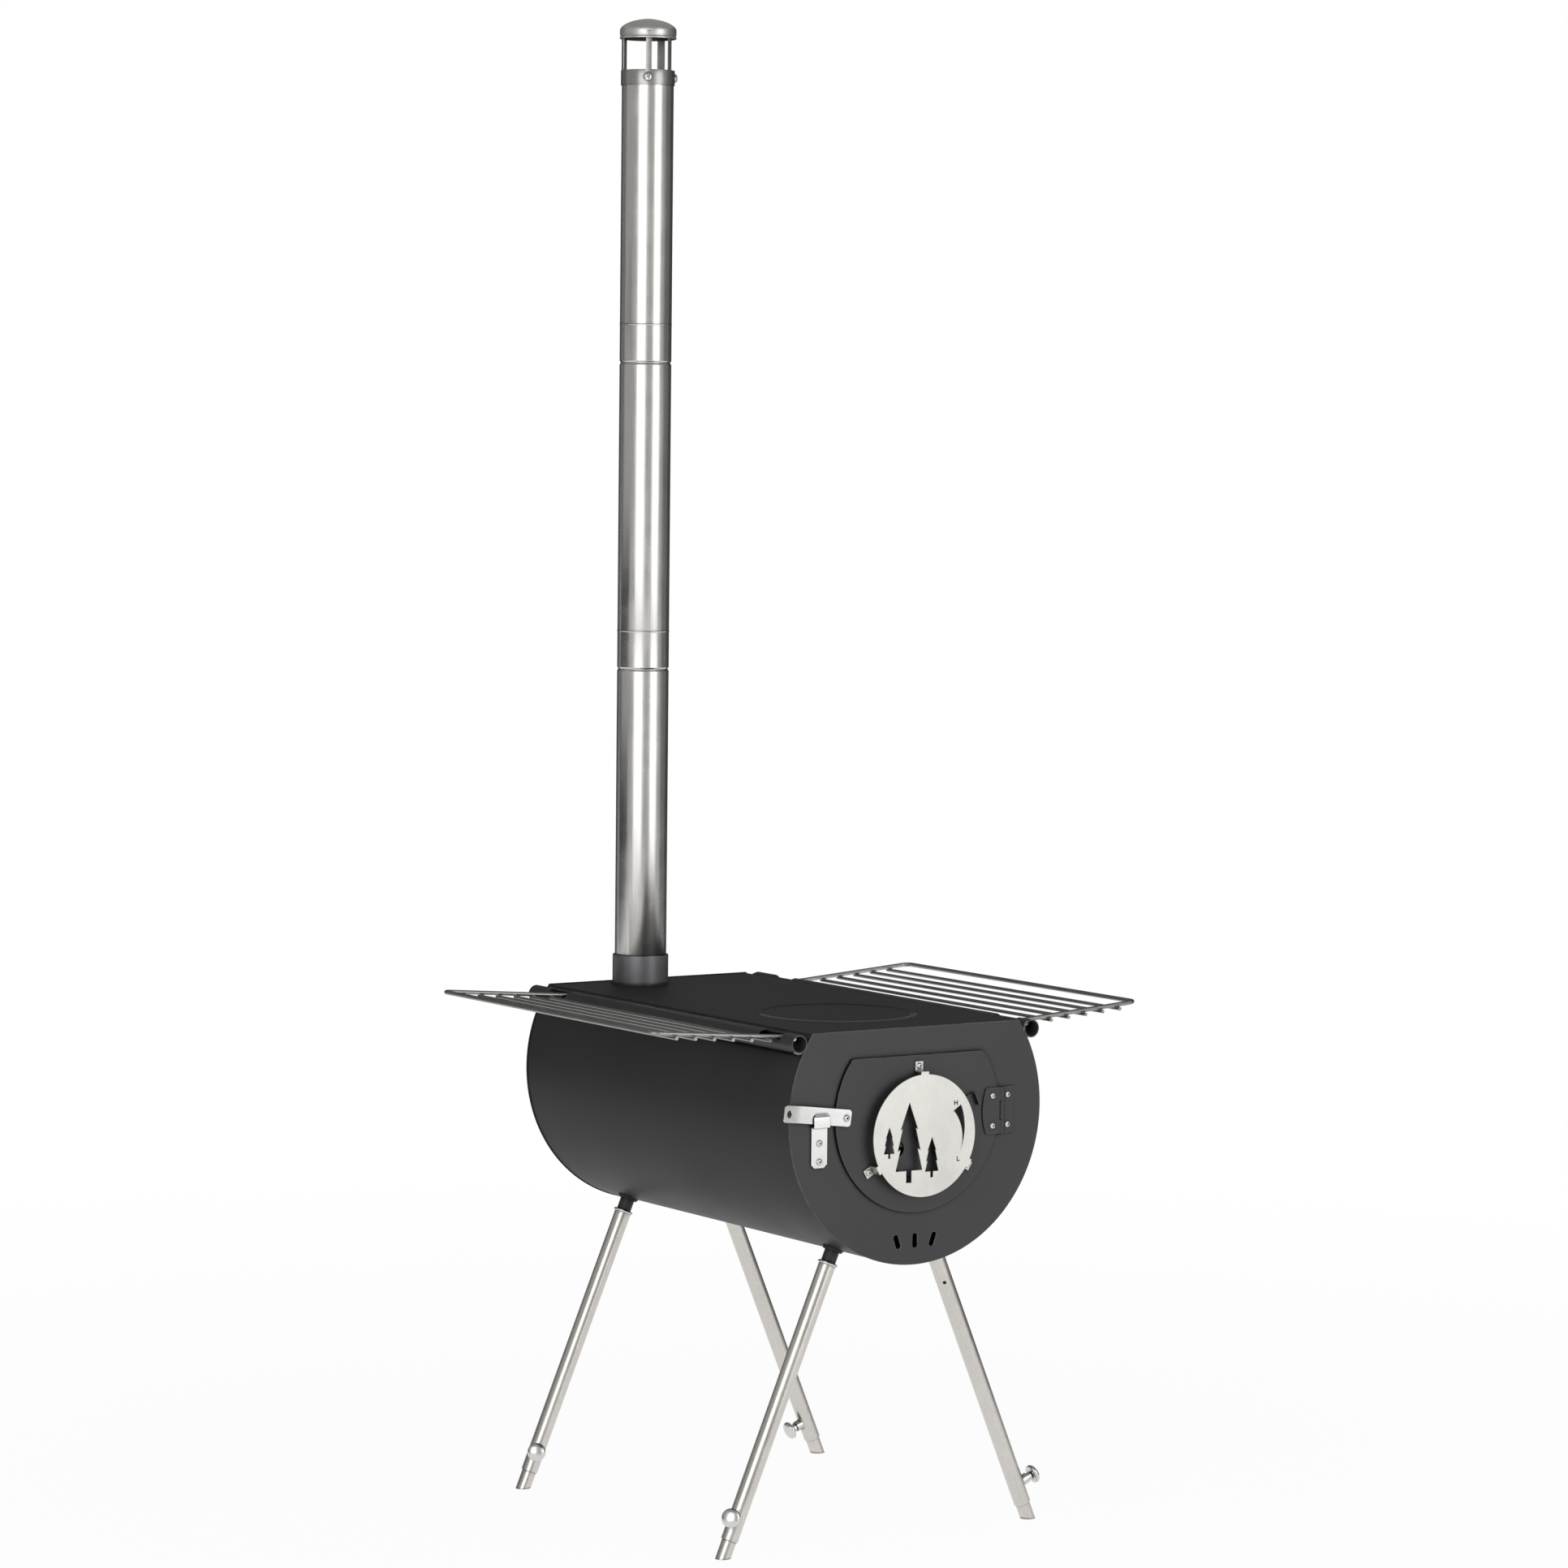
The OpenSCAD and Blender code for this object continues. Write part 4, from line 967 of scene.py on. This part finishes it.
def drawn_grain():
    """Grain of rolled or drawn metal, stretched along one direction, with clouding."""
    group, inside = new_group("Drawn Grain", {"Stretch": (900.0, 900.0, 20.0),
                                              "Depth": 0.01 * MM, "Cloud Scale": 25.0})
    stretched = add(group, "ShaderNodeVectorMath", {0: inside["Vector"], 1: inside["Stretch"]},
                    operation="MULTIPLY")
    streaks = noise(group, stretched.outputs["Vector"], 1.0, 3.0, 0.6)
    clouds = noise(group, inside["Vector"], inside["Cloud Scale"], 5.0, 0.6)
    return give(group, Streaks=streaks, Clouds=clouds,
                Normal=bumped(group, streaks, inside["Depth"]))


def painted_edge_highlight():
    """Painted highlight along hard edges, broken up by noise like chipped coat: one on edges."""
    group, inside = new_group("Edge Wear", {"Radius": 0.8 * MM, "Amount": 1.0,
                                            "Breakup": 60.0})
    rounded = add(group, "ShaderNodeBevel", {"Radius": inside["Radius"]}, samples=4)
    surface = add(group, "ShaderNodeNewGeometry")
    alike = add(group, "ShaderNodeVectorMath", {0: rounded.outputs["Normal"],
                                                1: surface.outputs["Normal"]},
                operation="DOT_PRODUCT").outputs["Value"]
    on_edge = between(group, alike, 0.0, 1.0, 0.998, 0.93)
    spots = noise(group, inside["Vector"], inside["Breakup"], 6.0, 0.7)
    edges_lightened = combined(group, "MULTIPLY", on_edge, between(group, spots, 0.0, 1.0, 0.35, 0.6))
    return give(group, Mask=combined(group, "MULTIPLY", edges_lightened, inside["Amount"], clamp=True))


def painted_crease_shade():
    """Painted shade where surfaces meet, broken up by noise: one deep in a crease, nothing on
    open faces.
    """
    group, inside = new_group("Crease Soot", {"Reach": 6 * MM})
    near = add(group, "ShaderNodeAmbientOcclusion", {"Distance": inside["Reach"]}, samples=8)
    deep = between(group, near.outputs["AO"], 0.0, 1.0, 0.95, 0.66)
    uneven = between(group, noise(group, inside["Vector"], 40.0, 4.0), 0.75, 1.0, 0.3, 0.6)
    return give(group, Mask=combined(group, "MULTIPLY", deep, uneven))


# Materials

def new_material(name):
    """A material with its Principled shader and its Object coordinates."""
    material = bpy.data.materials.new(name)
    material.use_nodes = True
    tree = material.node_tree
    vector = tree.nodes.new("ShaderNodeTexCoord").outputs["Object"]
    return material, tree, tree.nodes["Principled BSDF"], vector


def place_group(tree, group, vector, **values):
    """Places a shader group in a material with its own values, and gives its outputs."""
    sockets = {key.replace("_", " "): value for key, value in values.items()}
    return add(tree, "ShaderNodeGroup", {"Vector": vector, **sockets}, node_tree=group).outputs


def shade_of(base, factor):
    """A colour made lighter or darker, as red, green, blue and one."""
    return (*(min(1.0, channel * factor) for channel in base), 1.0)


def paint_material(name, groups, base, level, rough, edge_highlight, metal=0.0):
    """Satin heat-proof paint with orange peel, a painted highlight on its edges broken up like
    chipped coat, and painted shade in its creases.
    """
    material, tree, shader, vector = new_material(name)
    skin = place_group(tree, groups["skin"], vector)
    edge_highlight_mask = place_group(tree, groups["edge_highlight"], vector, Amount=edge_highlight)["Mask"]
    # Painted shade: the paint is darkened in its creases
    painted_shade = place_group(tree, groups["painted_shade"], vector)["Mask"]
    patches = between(tree, skin["Patches"], 0.0, 1.0)
    coat = mixed(tree, patches, shade_of(base, 0.93), shade_of(base, 1.07))
    # Painted highlight: hard edges are lightened, broken up like chipped coat
    edges_lightened = mixed(tree, edge_highlight_mask, coat, shade_of(base, 7))
    feed(tree, shader, {
        "Base Color": mixed(tree, painted_shade, edges_lightened, shade_of(base, 0.12)),
        "Roughness": between(tree, skin["Patches"], rough - 0.03, rough + 0.03),
        "Normal": skin["Normal"], "Specular IOR Level": level, "Metallic": metal})
    return material


def steel_material(name, groups, base, rough, depth, stretch=(350.0, 350.0, 350.0),
                   cloud=25.0, spread=0.05, tone=0.06, mottle=0.03):
    """Bare or plated metal: drawn grain of a depth in micrometres, clouding, varying
    roughness and painted shade in its creases."""
    material, tree, shader, vector = new_material(name)
    grain = place_group(tree, groups["grain"], vector, Stretch=stretch,
                        Depth=depth * MICROMETRE, Cloud_Scale=cloud)
    # Painted shade: the metal is darkened in its creases
    painted_shade = place_group(tree, groups["painted_shade"], vector, Reach=3 * MM)["Mask"]
    streaks = between(tree, grain["Streaks"], 0.0, 1.0)
    fine = mixed(tree, streaks, shade_of(base, 1 - tone), shade_of(base, 1 + tone))
    level = between(tree, grain["Clouds"], 1 - mottle, 1 + mottle)
    clouded = add(tree, "ShaderNodeHueSaturation", {"Color": fine, "Value": level})
    feed(tree, shader, {
        "Base Color": mixed(tree, painted_shade, clouded.outputs["Color"], shade_of(base, 0.3)),
        "Roughness": between(tree, grain["Clouds"], rough - spread, rough + spread),
        "Normal": grain["Normal"], "Metallic": 1.0})
    return material


# The finish of each slot, then of the pieces whose names start so, first and second
SLOT_FINISH = {"black_paint": "Satin Black Paint", "bare_steel": "Grate Steel",
               "pipe_stainless": "Rolled Pipe Steel", "leg_stainless": "Satin Leg Steel",
               "cover_stainless": "Blasted Cover Steel", "bright_steel": "Bright Zinc",
               "chrome_wire": "Plated Wire"}
OWN_FINISH = {"cook_top": "Cook Top Paint", "flue_collar": "Collar Paint",
              "front_plate": "Plate Paint", "barrel_shell": "Barrel Paint",
              "arrestor_cage": "Cage Steel", "arrestor_dome": "Pressed Dome Steel",
              "tube_weld": "Weld Bead"}
SECOND_FINISH = {"cook_top": "Rubbed Ring Paint", "door_panel": "Paint In Seams",
                 "hinge_leaf": "Paint In Seams", "side_rack": "Plated Wire Bars",
                 "arrestor": "Sooty Inside"}


def by_start(table, name, default):
    """The entry whose key begins a piece's name."""
    return next((table[key] for key in table if name.startswith(key)), default)


def paints(finish, groups):
    """The black paint and its kin, by name."""
    level, rough = finish.paint_level, finish.paint_rough
    # Shade of the black, gloss level, roughness, painted highlight on the edges and metallic
    # share
    table = {
        "Satin Black Paint": (1.0, level, rough, 0.5),
        # The front plate gets the strongest painted edge highlight
        "Plate Paint": (1.0, level, rough, 1.0),
        "Barrel Paint": (1.0, 0.12, rough - 0.03, 0.5),
        # Painted shade: the cook top's paint is a darker copy of the black paint; its dull gloss
        # is its own
        "Cook Top Paint": (0.8, finish.top_level, rough + 0.15, 0.35),
        # Painted highlight: a lighter, glossier copy of the paint on the ring's front-left side;
        # the gloss is its own
        "Rubbed Ring Paint": (1.8, 0.8, 0.42, 0.0),
        "Collar Paint": (5.5, 0.5, rough - 0.18, 0.0, finish.collar_metal),
        # Painted shade: a dark copy of the paint on the door's and hinge leaves' edge faces
        "Paint In Seams": (0.25, 0.1, 0.7, 0.0),
    }
    return {name: paint_material(name, groups, shade_of(finish.paint, shade)[:3], *values)
            for name, (shade, *values) in table.items()}


def metals(finish, groups):
    """The bare and plated metals, by name."""
    # Colour, roughness and depth of grain in micrometres, then what differs from the usual
    table = {
        "Grate Steel": (finish.grate, 0.55, 40, {"spread": 0.1, "tone": 0.3}),
        "Rolled Pipe Steel": (finish.pipe, finish.pipe_rough, 6,
                              {"stretch": (700.0, 700.0, 14.0), "spread": 0.03}),
        "Satin Leg Steel": (finish.leg, finish.leg_rough, 1.2,
                            {"stretch": (900.0, 900.0, 60.0)}),
        "Blasted Cover Steel": (finish.cover, finish.cover_rough, 10,
                                {"stretch": (900.0, 900.0, 900.0), "cloud": 22.0,
                                 "spread": 0.07, "tone": 0.03, "mottle": 0.09}),
        "Bright Zinc": (finish.zinc, finish.zinc_rough, 0.8,
                        {"stretch": (120.0, 900.0, 900.0), "spread": 0.02, "tone": 0.03,
                         "mottle": 0.02}),
        "Plated Wire": (finish.wire, finish.wire_rough, 10, {"spread": 0.04, "tone": 0.08}),
        # Painted shade: a darker copy of the plated wire; its greater roughness is its own
        "Plated Wire Bars": (shade_of(finish.wire, 0.72)[:3], 0.36, 10, {"tone": 0.08}),
        # The mandrel's own darker steel, which also paints shade on the rivets' recess walls
        "Rivet Mandrel": ((0.16, 0.155, 0.15), 0.5, 30, {"tone": 0.2}),
        "Cage Steel": (shade_of(finish.pipe, 0.62)[:3], 0.3, 10, {}),
        "Pressed Dome Steel": (finish.pipe, 0.4, 10, {"tone": 0.08}),
        # Painted shade: a dark steel for the arrestor's inner faces
        "Sooty Inside": ((0.07, 0.065, 0.06), 0.6, 20, {"tone": 0.3}),
        "Weld Bead": ((0.30, 0.29, 0.28), 0.5, 60, {"spread": 0.1, "tone": 0.4}),
    }
    return {name: steel_material(name, groups, base, rough, depth, **more)
            for name, (base, rough, depth, more) in table.items()}


class STOVE_OT_finishes(bpy.types.Operator):
    """Mixes the stove's finishes and gives each piece its own"""
    bl_idname = "stove.finishes"
    bl_label = "Finishes"

    def execute(self, context):
        finish = context.scene.stove_finish
        groups = {"skin": sprayed_skin(), "grain": drawn_grain(), "edge_highlight": painted_edge_highlight(),
                  "painted_shade": painted_crease_shade()}
        made = {**paints(finish, groups), **metals(finish, groups)}
        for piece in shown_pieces():
            slot = piece.get("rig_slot") or SLOT_OF.get(piece.name)
            first = made[by_start(OWN_FINISH, piece.name, SLOT_FINISH[slot])]
            second = made[by_start(SECOND_FINISH, piece.name, "Rivet Mandrel")]
            if not piece.material_slots:
                piece.data.materials.append(first)
            for index, holder in enumerate(piece.material_slots):
                holder.material = second if index == 1 else first
        return {"FINISHED"}


# Studio

# Lengths in metres, and turns in degrees about the pipe, from the camera towards its right
PIPE_FOOT = Vector((*middle_mm("pipe_lower").xy, 0)) * MM
CAMERA_SPOT = Vector((-3.1723, -4.8335, 1.2292))
SENSOR_WIDTH = 36
# The tall softboxes: turn and spread, then their distance, the level of their middle and
# their height
SOFTBOXES = (("left", -18, 38), ("right", 51, 30))
BOX_AWAY, BOX_LEVEL, BOX_HEIGHT = 2.5, 1.35, 2.3
# The low softbox: turn, distance, level, aim, width and height
LOW_BOX = (42, 2.4, 0.42, (0, -0.27, 0.45), 1.3, 0.7)
# The white backdrop: distance from the origin, level of its middle, width and height
BACKDROP = (8.5, 1.9, 5.4, 4.0)
# Dark cards that metal reflects: turn and spread in degrees, foot, top and glow
FLAGS = (("flag_right_near", 108, 36, 0.0, 2.9, 0.18),
         ("flag_right_far", 152, 52, 0.0, 2.9, 0.06),
         ("flag_left_near", -116, 20, 0.75, 2.9, 0.17),
         ("flag_left_far", -154, 56, 0.0, 2.9, 0.08),
         ("flag_side", -96, 60, 0.0, 0.75, 0.05))
FLAG_AWAY = 2.3
WALL_RADIUS, WALL_HEIGHT = 2.75, 3.4
# The floor round the stove: its radius, its drop under the feet and how far its shadow runs
FLOOR_RADIUS, FLOOR_DROP, SHADOW_START, SHADOW_END = 10, 0.2 * MM, 0.7, 2.6


def level_axes(stage):
    """The level directions ahead of the camera and to its right."""
    return (Vector((math.sin(stage.yaw), math.cos(stage.yaw), 0)),
            Vector((math.cos(stage.yaw), -math.sin(stage.yaw), 0)))


def view_axes(stage):
    """The camera's right, up and forward directions."""
    ahead, right = level_axes(stage)
    forward = ahead * math.cos(stage.pitch) - UP * math.sin(stage.pitch)
    up = UP * math.cos(stage.pitch) + ahead * math.sin(stage.pitch)
    return (right * math.cos(stage.roll) + up * math.sin(stage.roll),
            up * math.cos(stage.roll) - right * math.sin(stage.roll), forward)


def seen_from_pipe(stage, degrees):
    """The level direction from the flue pipe, turned from the camera towards its right."""
    turn = math.radians(degrees)
    ahead, right = level_axes(stage)
    return right * math.sin(turn) - ahead * math.cos(turn)


def width_of(spread, away):
    """The width that fills an angle in degrees at a distance."""
    return 2 * away * math.tan(math.radians(spread / 2))


def soft_light(name, spot, target, width, height, radiance):
    """A rectangular softbox that glossy and diffuse rays see, and the camera doesn't."""
    clear_selection()
    bpy.ops.object.light_add(type="AREA", location=spot)
    lamp = bpy.context.active_object
    lamp.name = name
    lamp.data.shape = "RECTANGLE"
    lamp.data.size, lamp.data.size_y = width, height
    lamp.data.energy = radiance * math.pi * width * height
    lamp.rotation_euler = (Vector(target) - Vector(spot)).to_track_quat("-Z", "Y").to_euler()
    lamp.visible_camera = False
    return lamp


def stage_piece(piece, material, camera=True, light=True):
    """Gives a piece of the studio its material, and hides it from the camera or the light."""
    piece.data.materials.append(material)
    piece.visible_camera = camera
    piece.visible_diffuse = light
    piece.visible_shadow = light
    piece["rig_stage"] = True


def card(name, spot, normal, width, height):
    """An upright card that faces along a normal."""
    piece = new_piece(name, bpy.ops.mesh.primitive_plane_add, size=1)
    place(piece, Matrix.Diagonal((width, height, 1, 1)))
    return place(piece, turn_to(spot, normal))


def blank_material(name):
    """A material with only its output."""
    material = bpy.data.materials.new(name)
    material.use_nodes = True
    tree = material.node_tree
    tree.nodes.clear()
    return material, tree, tree.nodes.new("ShaderNodeOutputMaterial")


def glow_material(name, level):
    """A plain glowing card of one level."""
    material, tree, out = blank_material(name)
    glow = add(tree, "ShaderNodeEmission", {"Strength": level})
    feed(tree, out, {"Surface": glow.outputs["Emission"]})
    return material


def floor_material(white):
    """A pale floor that keeps the stove's shadow, and runs to white further away."""
    material, tree, out = blank_material("Studio Floor")
    coords = tree.nodes.new("ShaderNodeTexCoord")
    away = add(tree, "ShaderNodeVectorMath", {0: coords.outputs["Object"]},
               operation="LENGTH").outputs["Value"]
    reach = between(tree, away, white, 1.0, SHADOW_START, SHADOW_END)
    path = tree.nodes.new("ShaderNodeLightPath").outputs
    seen = combined(tree, "ADD", path["Is Camera Ray"], path["Is Glossy Ray"])
    seen = combined(tree, "ADD", seen, path["Is Transmission Ray"], clamp=True)
    cloth = add(tree, "ShaderNodeBsdfDiffuse", {"Color": (0.82, 0.82, 0.82, 1)})
    glow = add(tree, "ShaderNodeEmission", {"Strength": 1.0})
    mix = add(tree, "ShaderNodeMixShader", {0: combined(tree, "MULTIPLY", seen, reach),
                                            1: cloth.outputs["BSDF"],
                                            2: glow.outputs["Emission"]})
    feed(tree, out, {"Surface": mix.outputs["Shader"]})
    return material


def build_room(scene, stage):
    """The room light, floor, white backdrop, grey wall and dark cards."""
    scene.world = bpy.data.worlds.new("Studio Room")
    scene.world.use_nodes = True
    tree = scene.world.node_tree
    feed(tree, tree.nodes["Background"], {"Color": (1, 1, 1, 1), "Strength": stage.sky})
    floor = new_piece("studio_floor", bpy.ops.mesh.primitive_circle_add, vertices=96,
                      radius=FLOOR_RADIUS, fill_type="NGON", location=(0, 0, -FLOOR_DROP))
    stage_piece(floor, floor_material(stage.floor_white))
    away, middle, width, height = BACKDROP
    behind = level_axes(stage)[0]
    paper = card("studio_backdrop", behind * away + UP * middle, -behind, width, height)
    stage_piece(paper, glow_material("Backdrop White", 1.0), light=False)
    wall = new_piece("studio_wall", bpy.ops.mesh.primitive_cylinder_add, vertices=72,
                     radius=WALL_RADIUS, depth=WALL_HEIGHT, end_fill_type="NOTHING",
                     location=(0, 0, WALL_HEIGHT / 2))
    stage_piece(wall, glow_material("Wall Grey", stage.wall_grey), camera=False, light=False)
    for name, turn, spread, foot, top, level in FLAGS:
        out = seen_from_pipe(stage, turn)
        flag = card(name, PIPE_FOOT + out * FLAG_AWAY + UP * (foot + top) / 2, -out,
                    width_of(spread, FLAG_AWAY), top - foot)
        stage_piece(flag, glow_material(name, level), camera=False, light=False)


def hang_lamps(stage):
    """Two tall softboxes beside the camera, and a low one in front that metal doesn't show."""
    for name, turn, spread in SOFTBOXES:
        spot = PIPE_FOOT + seen_from_pipe(stage, turn) * BOX_AWAY + UP * BOX_LEVEL
        soft_light("softbox_" + name, spot, PIPE_FOOT + UP * BOX_LEVEL,
                   width_of(spread, BOX_AWAY), BOX_HEIGHT, getattr(stage, name + "_box"))
    turn, away, level, aim, width, height = LOW_BOX
    spot = PIPE_FOOT + seen_from_pipe(stage, turn) * away + UP * level
    low = soft_light("softbox_low_front", spot, aim, width, height, stage.low_box)
    low.visible_glossy = False


def set_camera(scene, stage):
    """The camera at the photograph's viewing angle."""
    clear_selection()
    bpy.ops.object.camera_add()
    camera = bpy.context.active_object
    camera.name = "studio_camera"
    right, up, forward = view_axes(stage)
    turn = Matrix((right, up, -forward)).transposed().to_4x4()
    camera.matrix_world = Matrix.Translation(CAMERA_SPOT) @ turn
    camera.data.lens = stage.lens
    camera.data.sensor_width = SENSOR_WIDTH
    camera.data.clip_end = 100
    scene.camera = camera


class STOVE_OT_stage(bpy.types.Operator):
    """Sets the floor, backdrop, lamps, room light and camera"""
    bl_idname = "stove.stage"
    bl_label = "Studio"

    def execute(self, context):
        scene = context.scene
        scene.view_settings.view_transform = "Standard"
        build_room(scene, scene.stove_stage)
        hang_lamps(scene.stove_stage)
        set_camera(scene, scene.stove_stage)
        return {"FINISHED"}


# Panel and registration

STEPS = (STOVE_OT_barrel, STOVE_OT_door, STOVE_OT_pipe, STOVE_OT_arrestor, STOVE_OT_rivets,
         STOVE_OT_thumb_screws, STOVE_OT_legs, STOVE_OT_racks, STOVE_OT_welds,
         STOVE_OT_finishes, STOVE_OT_stage)
GROUPS = (("stove_shape", StoveShape), ("stove_finish", StoveFinish),
          ("stove_stage", StoveStage))


class STOVE_PT_panel(bpy.types.Panel):
    """Lists the stove's steps in the sidebar"""
    bl_idname = "STOVE_PT_panel"
    bl_label = "Tent Wood Stove"
    bl_space_type = "VIEW_3D"
    bl_region_type = "UI"
    bl_category = "Stove"

    def draw(self, context):
        for step in STEPS:
            self.layout.operator(step.bl_idname)


def register():
    for _, group in GROUPS:
        bpy.utils.register_class(group)
    for step in (*STEPS, STOVE_PT_panel):
        bpy.utils.register_class(step)
    for name, group in GROUPS:
        setattr(bpy.types.Scene, name, PointerProperty(type=group))


def unregister():
    for name, _ in GROUPS:
        delattr(bpy.types.Scene, name)
    for step in (STOVE_PT_panel, *reversed(STEPS)):
        bpy.utils.unregister_class(step)
    for _, group in GROUPS:
        bpy.utils.unregister_class(group)


def main():
    """Registers the add-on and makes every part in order."""
    register()
    for step in STEPS:
        family, name = step.bl_idname.split(".")
        getattr(getattr(bpy.ops, family), name)()


if __name__ == "__main__":
    main()
